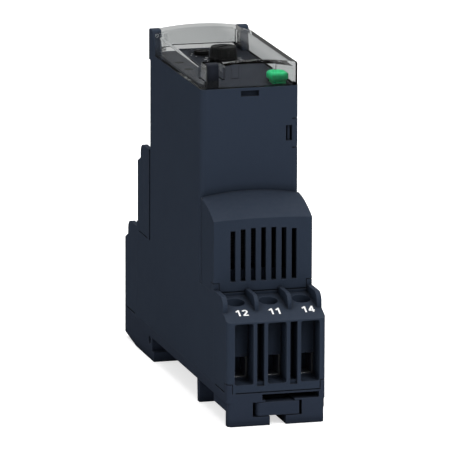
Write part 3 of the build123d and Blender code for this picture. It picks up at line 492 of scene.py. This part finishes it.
def made_mesh(tree, name, values, material):
    """The plain mesh that a Geometry Nodes tree makes with these values."""
    holder = bpy.data.objects.new(name + "_holder", bpy.data.meshes.new(name + "_seed"))
    bpy.context.scene.collection.objects.link(holder)
    modifier = holder.modifiers.new(tree.name, "NODES")
    modifier.node_group = tree
    keys = {item.name: item.identifier for item in tree.interface.items_tree if item.in_out == "INPUT"}
    for key, value in values.items():
        modifier[keys[key]] = value
    modifier[keys["Material"]] = material
    bpy.context.view_layer.update()
    shown = holder.evaluated_get(bpy.context.evaluated_depsgraph_get())
    mesh = bpy.data.meshes.new_from_object(shown)
    mesh.name = name
    bpy.data.objects.remove(holder)
    return mesh


def profile_curve(graph, share, points):
    """A Float Curve with straight runs between the given points."""
    node = graph.add("ShaderNodeFloatCurve", {"Value": share})
    curve = node.mapping.curves[0]
    curve.points[0].location = points[0]
    curve.points[1].location = points[-1]
    for x, y in points[1:-1]:
        curve.points.new(x, y)
    for point in curve.points:
        point.handle_type = "VECTOR"
    node.mapping.update()
    return node.outputs[0]


def turned_surface(graph, around, along, radius, height, downward=False):
    """A closed turned surface, made upward or downward, by functions of share and angle."""
    grid = graph.add("GeometryNodeMeshGrid", {"Vertices X": around, "Vertices Y": along})
    spot = graph.add("ShaderNodeSeparateXYZ", {0: graph.add("GeometryNodeInputPosition").outputs[0]})
    angle = graph.math("MULTIPLY", graph.math("ADD", spot.outputs["X"], 0.5), math.tau)
    share = graph.math("ADD", spot.outputs["Y"], 0.5)
    reach = radius(share, angle)
    place = graph.add(
        "ShaderNodeCombineXYZ",
        {
            "X": graph.math("MULTIPLY", reach, graph.math("COSINE", angle)),
            "Y": graph.math("MULTIPLY", reach, graph.math("SINE", angle)),
            "Z": height(share),
        },
    )
    turned = graph.add("GeometryNodeSetPosition", {"Geometry": grid.outputs[0], "Position": place.outputs[0]})
    joined = graph.add("GeometryNodeMergeByDistance", {"Geometry": turned.outputs[0], "Distance": 2e-6})
    if not downward:
        return joined.outputs[0]
    return graph.add("GeometryNodeFlipFaces", {"Mesh": joined.outputs[0]}).outputs[0]


def box_shape(graph, width, length, height):
    """A box in a Geometry Nodes tree."""
    size = graph.add("ShaderNodeCombineXYZ", {"X": width, "Y": length, "Z": height})
    return graph.add("GeometryNodeMeshCube", {"Size": size.outputs[0]}).outputs[0]


def cut_away(graph, body, tool):
    """A closed body less a closed tool."""
    inputs = {"Mesh 1": body, "Mesh 2": tool}
    return graph.add("GeometryNodeMeshBoolean", inputs, operation="DIFFERENCE", solver="MANIFOLD").outputs[0]


def finish_tree(graph, shape, material, sharp=0.6):
    """Ends a tree: shading, realised instances and the material."""
    made = graph.add("NodeGroupOutput")
    shaded = with_sharp_edges(graph, shape, sharp)
    real = graph.add("GeometryNodeRealizeInstances", {"Geometry": shaded})
    coated = graph.add("GeometryNodeSetMaterial", {"Geometry": real.outputs[0], "Material": material})
    graph.link(coated.outputs[0], made.inputs["Geometry"])


def shape_tree(name, sizes, counts=()):
    """A Geometry Nodes tree with values, a place and a material to set, its graph and its inputs."""
    tree = bpy.data.node_groups.new(name, "GeometryNodeTree")
    for size in sizes:
        tree_socket(tree, size, "NodeSocketFloat")
    for count in counts:
        tree_socket(tree, count, "NodeSocketInt")
    tree_socket(tree, "Place", "NodeSocketVector")
    tree_socket(tree, "Material", "NodeSocketMaterial")
    tree_socket(tree, "Geometry", "NodeSocketGeometry", output=True)
    graph = Graph(tree)
    return tree, graph, graph.add("NodeGroupInput").outputs


def set_in_place(graph, shape, given):
    """A shape spun about Z by the tree's turn and moved to its place."""
    spin = graph.add("ShaderNodeCombineXYZ", {"Z": given["Turn"]})
    turned = graph.add("GeometryNodeTransform", {"Geometry": shape, "Rotation": spin.outputs[0]})
    inputs = {"Geometry": turned.outputs[0], "Translation": given["Place"]}
    return graph.add("GeometryNodeTransform", inputs).outputs[0]


def screw_tree():
    """A terminal screw: turned head with a driver recess, and a threaded shank."""
    sizes = ("Head Radius", "Head Height", "Shank Radius", "Length", "Pitch", "Thread Depth")
    sizes += ("Recess Width", "Recess Length", "Recess Depth", "Turn")
    tree, graph, given = shape_tree("Terminal Screw", sizes)

    def head_radius(share, angle):
        shape = profile_curve(
            graph, share, [(0, 0), (0.3, 0.86), (0.36, 0.955), (0.42, 1), (0.7, 1), (0.76, 0.95), (1, 0)]
        )
        return graph.math("MULTIPLY", shape, given["Head Radius"])

    def head_height(share):
        drop = profile_curve(
            graph, share, [(0, 0), (0.3, 0.02), (0.36, 0.07), (0.42, 0.2), (0.7, 0.88), (0.76, 1), (1, 1)]
        )
        return graph.math("MULTIPLY", drop, graph.math("MULTIPLY", given["Head Height"], -1.0))

    def shank_height(share):
        inside = graph.math("MULTIPLY", given["Head Height"], -0.9)
        return graph.math("SUBTRACT", inside, graph.math("MULTIPLY", share, given["Length"]))

    def shank_radius(share, angle):
        rise = graph.math("DIVIDE", shank_height(share), given["Pitch"])
        turn = graph.math("DIVIDE", angle, math.tau)
        wave = graph.math("PINGPONG", graph.math("ADD", rise, turn), 0.5)
        groove = graph.math("MULTIPLY", graph.math("MULTIPLY", wave, 2.0), given["Thread Depth"])
        body = graph.math("SUBTRACT", given["Shank Radius"], groove)
        ends = profile_curve(graph, share, [(0, 0), (0.02, 1), (0.93, 1), (0.98, 0.72), (1, 0)])
        return graph.math("MULTIPLY", body, ends)

    head = turned_surface(graph, 49, 30, head_radius, head_height, downward=True)
    shank = turned_surface(graph, 33, 110, shank_radius, shank_height, downward=True)
    cut_depth = graph.math("MULTIPLY", given["Recess Depth"], 2.0)
    wide = box_shape(graph, given["Recess Length"], given["Recess Width"], cut_depth)
    long = box_shape(graph, given["Recess Width"], given["Recess Length"], cut_depth)
    recessed = cut_away(graph, cut_away(graph, head, wide), long)
    both = graph.add("GeometryNodeJoinGeometry")
    graph.link(shank, both.inputs[0])
    graph.link(recessed, both.inputs[0])
    finish_tree(graph, set_in_place(graph, both.outputs[0], given), given["Material"])
    return tree


def knob_tree():
    """A setting knob with a foot, a narrowing grip with ribs, and a pointer groove."""
    sizes = ("Radius", "Height", "Ribs", "Rib Depth", "Turn")
    sizes += ("Groove Width", "Groove Length", "Groove Offset")
    tree, graph, given = shape_tree("Setting Knob", sizes)
    foot_radii = [(0, 0), (0.04, 0.97), (0.07, 1), (0.13, 1)]
    grip_radii = [(0.16, 0.953), (0.66, 0.885), (0.7, 0.86), (0.74, 0.78), (1, 0)]
    foot_heights = [(0, 0), (0.04, 0), (0.07, 0.03), (0.13, 0.13)]
    grip_heights = [(0.16, 0.16), (0.66, 0.95), (0.7, 0.985), (0.74, 1), (1, 0.985)]

    def radius(share, angle):
        shape = profile_curve(graph, share, foot_radii + grip_radii)
        body = graph.math("MULTIPLY", shape, given["Radius"])
        ribs = graph.math("SINE", graph.math("MULTIPLY", angle, given["Ribs"]))
        zone = profile_curve(graph, share, [(0, 0), (0.17, 0), (0.2, 1), (0.62, 1), (0.66, 0), (1, 0)])
        swell = graph.math("MULTIPLY", graph.math("MULTIPLY", ribs, zone), given["Rib Depth"])
        return graph.math("ADD", body, swell)

    def height(share):
        rise = profile_curve(graph, share, foot_heights + grip_heights)
        return graph.math("MULTIPLY", rise, given["Height"])

    body = turned_surface(graph, 169, 60, radius, height)
    tall = graph.math("MULTIPLY", given["Groove Width"], 2.2)
    groove = box_shape(graph, given["Groove Width"], given["Groove Length"], tall)
    lift = graph.add("ShaderNodeCombineXYZ", {"Y": given["Groove Offset"], "Z": given["Height"]})
    raised = graph.add("GeometryNodeTransform", {"Geometry": groove, "Translation": lift.outputs[0]})
    cut = cut_away(graph, body, raised.outputs[0])
    finish_tree(graph, set_in_place(graph, cut, given), given["Material"], 0.7)
    return tree


def dial_tree():
    """Printed marks of one length in a ring round a knob."""
    sizes = ("Radius", "Sweep", "Mark Length", "Mark Width", "Thickness")
    tree, graph, given = shape_tree("Dial Marks", sizes, ("Steps",))
    steps = graph.add("GeometryNodeMeshLine", {"Count": given["Steps"]})
    index = graph.add("GeometryNodeInputIndex").outputs[0]
    last = graph.math("SUBTRACT", given["Steps"], 1.0)
    share = graph.math("SUBTRACT", graph.math("DIVIDE", index, last), 0.5)
    angle = graph.math("MULTIPLY", share, graph.math("MULTIPLY", given["Sweep"], -1.0))
    half = graph.math("MULTIPLY", given["Mark Length"], 0.5)
    reach = graph.math("ADD", given["Radius"], half)
    spot = graph.add(
        "ShaderNodeCombineXYZ",
        {
            "X": graph.math("MULTIPLY", reach, graph.math("MULTIPLY", graph.math("SINE", angle), -1.0)),
            "Y": graph.math("MULTIPLY", reach, graph.math("COSINE", angle)),
        },
    )
    ring = graph.add("GeometryNodeSetPosition", {"Geometry": steps.outputs[0], "Position": spot.outputs[0]})
    mark = box_shape(graph, given["Mark Width"], given["Mark Length"], given["Thickness"])
    facing = graph.add("ShaderNodeCombineXYZ", {"Z": angle})
    marks = graph.add(
        "GeometryNodeInstanceOnPoints",
        {"Points": ring.outputs[0], "Instance": mark, "Rotation": facing.outputs[0]},
    )
    placed = graph.add("GeometryNodeTransform", {"Geometry": marks.outputs[0], "Translation": given["Place"]})
    finish_tree(graph, placed.outputs[0], given["Material"])
    return tree


def arc(x, y, wide, tall, start, end, steps=14):
    """Points along part of an ellipse, by angles in degrees."""
    turns = [math.radians(start + (end - start) * k / steps) for k in range(steps + 1)]
    return [(x + wide * math.cos(turn), y + tall * math.sin(turn)) for turn in turns]


def digit_strokes(digit):
    """The pen strokes of one plain digit, in a cell one unit high."""
    if digit == "1":
        return [[(0.38, 0.0), (0.38, 1.0)], [(0.08, 0.70), (0.24, 0.78), (0.37, 0.93)]]
    if digit == "2":
        return [arc(0.31, 0.69, 0.22, 0.21, 165, -38) + [(0.11, 0.12)], [(0.03, 0.09), (0.58, 0.09)]]
    if digit == "3":
        return [arc(0.28, 0.71, 0.20, 0.19, 155, -90), arc(0.28, 0.30, 0.23, 0.21, 90, -155)]
    if digit == "4":
        return [[(0.44, 0.0), (0.44, 1.0)], [(0.42, 0.92), (0.08, 0.36)], [(0.0, 0.30), (0.62, 0.30)]]
    if digit == "5":
        return [
            [(0.56, 0.91), (0.12, 0.91)],
            [(0.14, 0.98), (0.11, 0.52)],
            arc(0.29, 0.33, 0.23, 0.24, 128, -150),
        ]
    return [arc(0.31, 0.32, 0.22, 0.23, 0, 360), [(0.47, 0.95), (0.25, 0.66), (0.10, 0.38)]]


def stroke_mesh(strokes, width, thickness):
    """Flat strokes of one width with mitred bends, standing up by a thickness."""
    shell = bmesh.new()
    for points in strokes:
        path = [Vector(point) for point in points]
        rails = []
        for k, point in enumerate(path):
            before = (point - path[k - 1]).normalized() if k else None
            after = (path[k + 1] - point).normalized() if k + 1 < len(path) else None
            ahead = ((before or after) + (after or before)).normalized()
            side = Vector((-ahead.y, ahead.x))
            along = after or before
            spread = width / 2 / max(0.5, side.dot(Vector((-along.y, along.x))))
            rails.append((point - side * spread, point + side * spread))
        corners = []
        for right, left in rails:
            corners.append(
                [shell.verts.new((spot.x, spot.y, z)) for spot, z in
                 ((right, 0.0), (left, 0.0), (left, thickness), (right, thickness))]
            )
        for first, second in zip(corners, corners[1:]):
            for k in range(4):
                shell.faces.new((first[k], first[(k + 1) % 4], second[(k + 1) % 4], second[k]))
        shell.faces.new(corners[0])
        shell.faces.new(reversed(corners[-1]))
    bmesh.ops.recalc_face_normals(shell, faces=shell.faces[:])
    mesh = bpy.data.meshes.new("strokes")
    shell.to_mesh(mesh)
    shell.free()
    return mesh


def number_mesh(digits, marks):
    """A number of plain digits, lying in X and Y about its middle."""
    height = marks.digit_height
    strokes = []
    for k, digit in enumerate(digits):
        shift = (k - (len(digits) - 1) / 2) * marks.digit_pitch
        for points in digit_strokes(digit):
            strokes.append([((x - 0.31) * height + shift, (y - 0.5) * height) for x, y in points])
    return stroke_mesh(strokes, marks.stroke_width, marks.ink_thickness)


def joined_mesh(name, meshes):
    """Several meshes as one."""
    whole = bmesh.new()
    for mesh in meshes:
        whole.from_mesh(mesh)
        bpy.data.meshes.remove(mesh)
    joined = bpy.data.meshes.new(name)
    whole.to_mesh(joined)
    whole.free()
    return joined


class RELAY_OT_materials(bpy.types.Operator):
    """Build the shared shader groups and the shading tree"""

    bl_idname = "relay.materials"
    bl_label = "Shared Groups"

    def execute(self, context):
        moulded_grain_group()
        soft_edge_group()
        handling_group()
        smooth_shading_tree()
        return {"FINISHED"}


class RELAY_OT_housing(bpy.types.Operator):
    """Finish the shell, the vent grille and the terminal blocks"""

    bl_idname = "relay.housing"
    bl_label = "Housing"

    def execute(self, context):
        plastics = context.scene.relay_plastics
        shell = moulded_material(
            "Housing Plastic", plastics.housing_colour, plastics.roughness, plastics.grain_depth
        )
        for name in ("housing", "vent_cover"):
            finish_node(name, shell)
        for row in TERMINAL_NUMBERS:
            finish_node(f"{row}_terminal_block", shell)
        return {"FINISHED"}


class RELAY_OT_foot(bpy.types.Operator):
    """Finish the rail foot, its clip and the clip's spring"""

    bl_idname = "relay.foot"
    bl_label = "Rail Foot"

    def execute(self, context):
        plastics = context.scene.relay_plastics
        metals = context.scene.relay_metals
        foot = moulded_material(
            "Foot Plastic", plastics.foot_colour, plastics.roughness - 0.04, plastics.grain_depth * 0.7
        )
        finish_node("rail_base", foot)
        finish_node("rail_clip", foot)
        finish_node("clip_spring", plated_material("Spring Wire", metals.spring_colour, metals.roughness))
        return {"FINISHED"}


class RELAY_OT_cover(bpy.types.Operator):
    """Finish the clear cover and the light guides"""

    bl_idname = "relay.cover"
    bl_label = "Clear Cover"

    def execute(self, context):
        plastics = context.scene.relay_plastics
        clear = clear_material("Clear Cover", plastics.cover_tint, 0.0, 1.03, plastics.cover_coat)
        finish_node("cover", clear)
        guide = clear_material("Light Guide", srgb(214, 222, 214), 0.12, 1.49)
        for number in (1, 2):
            finish_node(f"light_guide_{number}", guide)
        return {"FINISHED"}


class RELAY_OT_front_plate(bpy.types.Operator):
    """Finish the front plate and print its dial marks"""

    bl_idname = "relay.front_plate"
    bl_label = "Front Plate"

    def execute(self, context):
        plastics = context.scene.relay_plastics
        marks = context.scene.relay_marks
        grain = plastics.grain_depth * 0.5
        plate = moulded_material(
            "Front Plate Plastic", plastics.plate_colour, plastics.roughness - 0.06, grain
        )
        finish_node("front_plate", plate)
        ink = bpy.data.materials["Marking Ink"]
        tree = dial_tree()
        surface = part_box("front_board")[1].z + PLATE_LIFT
        printed = []
        for knob, steps, width in (("selector_knob", marks.dial_steps, 0.22), ("trimmer_knob", 7, 0.16)):
            low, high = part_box(knob)
            middle = (low + high) / 2
            radius = (high.x - low.x) / 2
            values = {
                "Radius": radius + marks.dial_gap,
                "Sweep": marks.dial_sweep,
                "Mark Length": radius * 0.22,
                "Mark Width": width * MM,
                "Thickness": marks.ink_thickness,
                "Steps": steps,
                "Place": (middle.x, middle.y, surface + marks.ink_thickness / 2),
            }
            printed.append(made_mesh(tree, f"{knob}_dial", values, ink))
        place_piece("dial_marks", joined_mesh("dial_marks", printed), ROOT, ink)
        return {"FINISHED"}


class RELAY_OT_numbers(bpy.types.Operator):
    """Print the terminal numbers on the sloping labels"""

    bl_idname = "relay.numbers"
    bl_label = "Terminal Numbers"

    def execute(self, context):
        marks = context.scene.relay_marks
        ink = ink_material("Marking Ink", marks.ink_colour)
        for row, words in TERMINAL_NUMBERS.items():
            self.print_row(row, words, marks, ink)
        return {"FINISHED"}

    def print_row(self, row, words, marks, ink):
        low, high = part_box(f"{row}_terminal_block")
        near = row == "near"
        face = low.y if near else high.y
        side = 1 if near else -1
        base = low.z + LABEL_BASE
        across = Vector((side, 0, 0))
        up = Vector((0, side * math.cos(LABEL_SLOPE), math.sin(LABEL_SLOPE)))
        out = across.cross(up)
        printed = []
        for number, word in enumerate(words, start=1):
            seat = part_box(f"{row}_screw_{number}")
            x = (seat[0].x + seat[1].x) / 2 + side * NUMBER_SHIFT
            mesh = number_mesh(word, marks)
            rise = NUMBER_DEPTH * math.tan(LABEL_SLOPE)
            spot = Vector((x, face + side * NUMBER_DEPTH, base + rise))
            turn = Matrix((across, up, out)).transposed().to_4x4()
            mesh.transform(Matrix.Translation(spot) @ turn)
            printed.append(mesh)
        name = f"{row}_numbers"
        place_piece(name, joined_mesh(name, printed), ROOT, ink)


class RELAY_OT_screws(bpy.types.Operator):
    """Make the terminal screws and finish the clamps and contact bars"""

    bl_idname = "relay.screws"
    bl_label = "Terminal Screws"

    def execute(self, context):
        metals = context.scene.relay_metals
        fittings = context.scene.relay_fittings
        zinc = plated_material("Zinc Plate", metals.zinc_colour, metals.roughness)
        tin = plated_material("Tinned Copper", metals.tin_colour, metals.roughness, 500.0)
        tree = screw_tree()
        for row_number, row in enumerate(TERMINAL_NUMBERS):
            finish_node(f"{row}_contact_bars", tin)
            for number in (1, 2, 3):
                finish_node(f"{row}_clamp_{number}", zinc)
                node = f"{row}_screw_{number}"
                low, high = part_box(node)
                middle = (low + high) / 2
                values = {
                    "Head Radius": (high.x - low.x) / 2,
                    "Head Height": fittings.head_height,
                    "Shank Radius": fittings.shank_radius,
                    "Length": high.z - low.z - 1.8 * MM,
                    "Pitch": fittings.thread_pitch,
                    "Thread Depth": fittings.thread_depth,
                    "Recess Width": fittings.recess_width,
                    "Recess Length": fittings.recess_length,
                    "Recess Depth": fittings.recess_depth,
                    "Turn": 0.45 + 1.1 * number + 0.7 * row_number,
                    "Place": (middle.x, middle.y, high.z),
                }
                name = f"{node}_threaded"
                piece = place_piece(name, made_mesh(tree, name, values, zinc), node, zinc)
                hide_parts(node)
        return {"FINISHED"}


class RELAY_OT_knobs(bpy.types.Operator):
    """Make the setting knob and finish the trimmer"""

    bl_idname = "relay.knobs"
    bl_label = "Knobs"

    def execute(self, context):
        plastics = context.scene.relay_plastics
        fittings = context.scene.relay_fittings
        black = moulded_material("Knob Plastic", plastics.knob_colour, 0.42, 0.1, 0.0001)
        low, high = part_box("selector_knob")
        middle = (low + high) / 2
        values = {
            "Radius": (high.x - low.x) / 2,
            "Height": fittings.knob_height,
            "Ribs": float(fittings.knob_ribs),
            "Rib Depth": fittings.rib_depth,
            "Groove Width": fittings.groove_width,
            "Groove Length": fittings.groove_length,
            "Groove Offset": -fittings.groove_shift,
            "Turn": fittings.knob_turn,
            "Place": (middle.x, middle.y, high.z - fittings.knob_seat),
        }
        mesh = made_mesh(knob_tree(), "selector_grip", values, black)
        piece = place_piece("selector_grip", mesh, "selector", black)
        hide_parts("selector_knob")
        finish_node("trimmer_knob", black)
        return {"FINISHED"}


class RELAY_OT_button(bpy.types.Operator):
    """Finish the push button"""

    bl_idname = "relay.button"
    bl_label = "Push Button"

    def execute(self, context):
        plastics = context.scene.relay_plastics
        finish_node("test_button", moulded_material("Button Plastic", plastics.button_colour, 0.36, 0.08))
        return {"FINISHED"}


class RELAY_OT_circuit(bpy.types.Operator):
    """Finish the boards and the parts on them"""

    bl_idname = "relay.circuit"
    bl_label = "Circuit Boards"

    def execute(self, context):
        laminate = board_material("Board Laminate")
        for name in ("main_board", "front_board"):
            finish_node(name, laminate)
        finish_node("output_relay", moulded_material("Relay Enclosure", srgb(30, 31, 33), 0.3, 0.1))
        finish_node("transformer", laminated_material("Core Sheets", srgb(88, 88, 92)))
        finish_node("capacitor", plated_material("Capacitor Can", srgb(190, 193, 198), 0.3))
        blue = moulded_material("Trimmer Body", srgb(38, 66, 120), 0.4, 0.1)
        for name in ("selector_potentiometer", "trimmer_potentiometer", "button_switch"):
            finish_node(name, blue)
        lamp = moulded_material("Lamp Body", srgb(196, 186, 120), 0.25, 0.05)
        for number in (1, 2):
            finish_node(f"lamp_{number}", lamp)
        return {"FINISHED"}


class RELAY_OT_studio(bpy.types.Operator):
    """Set the floor, the lamps, the background and the camera"""

    bl_idname = "relay.studio"
    bl_label = "Studio"

    def execute(self, context):
        studio = context.scene.relay_studio
        self.make_floor(studio)
        self.make_lamps(studio)
        self.make_world(studio)
        self.make_camera(context)
        context.scene.view_settings.view_transform = "Standard"
        return {"FINISHED"}

    def make_floor(self, studio):
        shell = bmesh.new()
        bmesh.ops.create_grid(shell, x_segments=1, y_segments=1, size=6.0)
        mesh = bpy.data.meshes.new("floor")
        shell.to_mesh(mesh)
        shell.free()
        floor = bpy.data.objects.new("floor", mesh)
        mesh.materials.append(floor_material(studio.floor_colour, studio.mirrored_floor))
        bpy.context.scene.collection.objects.link(floor)

    def make_lamps(self, studio):
        aim = Vector((0, 0, 0.035))
        plan = (
            ("key", (0.35, -0.75, 0.75), 0.6, studio.key_power),
            ("fill", (-0.9, -0.35, 0.35), 0.6, studio.fill_power),
            ("top", (0.1, 0.25, 0.95), 0.7, studio.top_power),
        )
        for name, place, size, power in plan:
            data = bpy.data.lights.new(name, "AREA")
            data.shape = "SQUARE"
            data.size = size
            data.energy = power
            lamp = bpy.data.objects.new(name, data)
            lamp.location = place
            lamp.rotation_euler = (aim - Vector(place)).to_track_quat("-Z", "Y").to_euler()
            bpy.context.scene.collection.objects.link(lamp)

    def make_world(self, studio):
        """An even room, white to the camera and through the cover, with a dark flag over its roof."""
        world = bpy.data.worlds.new("Studio")
        world.use_nodes = True
        world.node_tree.nodes.clear()
        graph = Graph(world.node_tree)
        path = graph.add("ShaderNodeLightPath").outputs
        no_bounce = graph.math("LESS_THAN", path["Diffuse Depth"], 0.5)
        through = graph.math("MULTIPLY", path["Is Transmission Ray"], no_bounce)
        shiny = graph.math("MAXIMUM", path["Is Glossy Ray"], through)
        even = graph.math("MULTIPLY", graph.math("SUBTRACT", 1.0, shiny), studio.surround)
        toward = graph.add("ShaderNodeTexCoord").outputs["Generated"]
        rise = graph.add("ShaderNodeSeparateXYZ", {0: toward}).outputs["Z"]
        off_flag = graph.math("ABSOLUTE", graph.math("SUBTRACT", rise, studio.flag_height))
        flag = {"Value": off_flag, 1: FLAG_HALF, 2: FLAG_SOFT, 3: FLAG_LIGHT, 4: 1.0}
        edge = graph.add("ShaderNodeMapRange", flag).outputs[0]
        bounces = {"Value": path["Glossy Depth"], 3: 1.0, 4: studio.mirrored}
        dimmed = graph.add("ShaderNodeMapRange", bounces).outputs[0]
        in_glass = graph.math("MULTIPLY", through, graph.math("MULTIPLY", edge, dimmed))
        dim_edge = graph.math("MULTIPLY", edge, studio.mirrored)
        in_mirror = graph.math("MULTIPLY", path["Is Glossy Ray"], dim_edge)
        seen = graph.math("MAXIMUM", path["Is Camera Ray"], graph.math("MAXIMUM", in_glass, in_mirror))
        strength = graph.math("MAXIMUM", even, seen)
        back = graph.add("ShaderNodeBackground", {"Color": (1.0, 1.0, 1.0, 1.0), "Strength": strength})
        output = graph.add("ShaderNodeOutputWorld")
        graph.link(back.outputs[0], output.inputs["Surface"])
        bpy.context.scene.world = world

    def make_camera(self, context):
        azimuth, elevation, roll = (math.radians(angle) for angle in CAMERA_ANGLES)
        right = Vector((math.cos(azimuth), math.sin(azimuth), 0))
        reach = math.cos(elevation)
        back = Vector((math.sin(azimuth) * reach, -math.cos(azimuth) * reach, math.sin(elevation)))
        up = back.cross(right)
        level, rise = right.copy(), up.copy()
        right = level * math.cos(roll) + rise * math.sin(roll)
        up = rise * math.cos(roll) - level * math.sin(roll)
        data = bpy.data.cameras.new("camera")
        data.sensor_width = 36
        data.lens = FOCAL_PIXELS / PHOTO_PIXELS * data.sensor_width
        data.shift_x = 0.00487
        data.shift_y = -0.0460
        data.clip_start = 0.05
        data.clip_end = 50
        camera = bpy.data.objects.new("camera", data)
        turn = Matrix((right, up, back)).transposed().to_4x4()
        camera.matrix_world = Matrix.Translation(CAMERA_AIM + back * CAMERA_DISTANCE) @ turn
        context.scene.collection.objects.link(camera)
        context.scene.camera = camera


OPERATORS = (
    RELAY_OT_studio,
    RELAY_OT_materials,
    RELAY_OT_housing,
    RELAY_OT_foot,
    RELAY_OT_numbers,
    RELAY_OT_front_plate,
    RELAY_OT_screws,
    RELAY_OT_knobs,
    RELAY_OT_button,
    RELAY_OT_circuit,
    RELAY_OT_cover,
)


class RELAY_PT_dressing(bpy.types.Panel):
    """Settings and steps of the relay's dressing"""

    bl_idname = "RELAY_PT_dressing"
    bl_label = "Level Control Relay"
    bl_space_type = "VIEW_3D"
    bl_region_type = "UI"
    bl_category = "Relay"

    def draw(self, context):
        for group in SETTINGS:
            box = self.layout.box()
            settings = getattr(context.scene, group)
            for name in settings.bl_rna.properties.keys():
                if name not in ("rna_type", "name"):
                    box.prop(settings, name)
        for operator in OPERATORS:
            self.layout.operator(operator.bl_idname)


def register():
    for group, settings in SETTINGS.items():
        bpy.utils.register_class(settings)
        setattr(bpy.types.Scene, group, PointerProperty(type=settings))
    for operator in OPERATORS:
        bpy.utils.register_class(operator)
    bpy.utils.register_class(RELAY_PT_dressing)


def unregister():
    bpy.utils.unregister_class(RELAY_PT_dressing)
    for operator in reversed(OPERATORS):
        bpy.utils.unregister_class(operator)
    for group, settings in reversed(SETTINGS.items()):
        delattr(bpy.types.Scene, group)
        bpy.utils.unregister_class(settings)


def main():
    register()
    for operator in OPERATORS:
        stage, name = operator.bl_idname.split(".")
        getattr(getattr(bpy.ops, stage), name)()


if __name__ == "__main__":
    main()
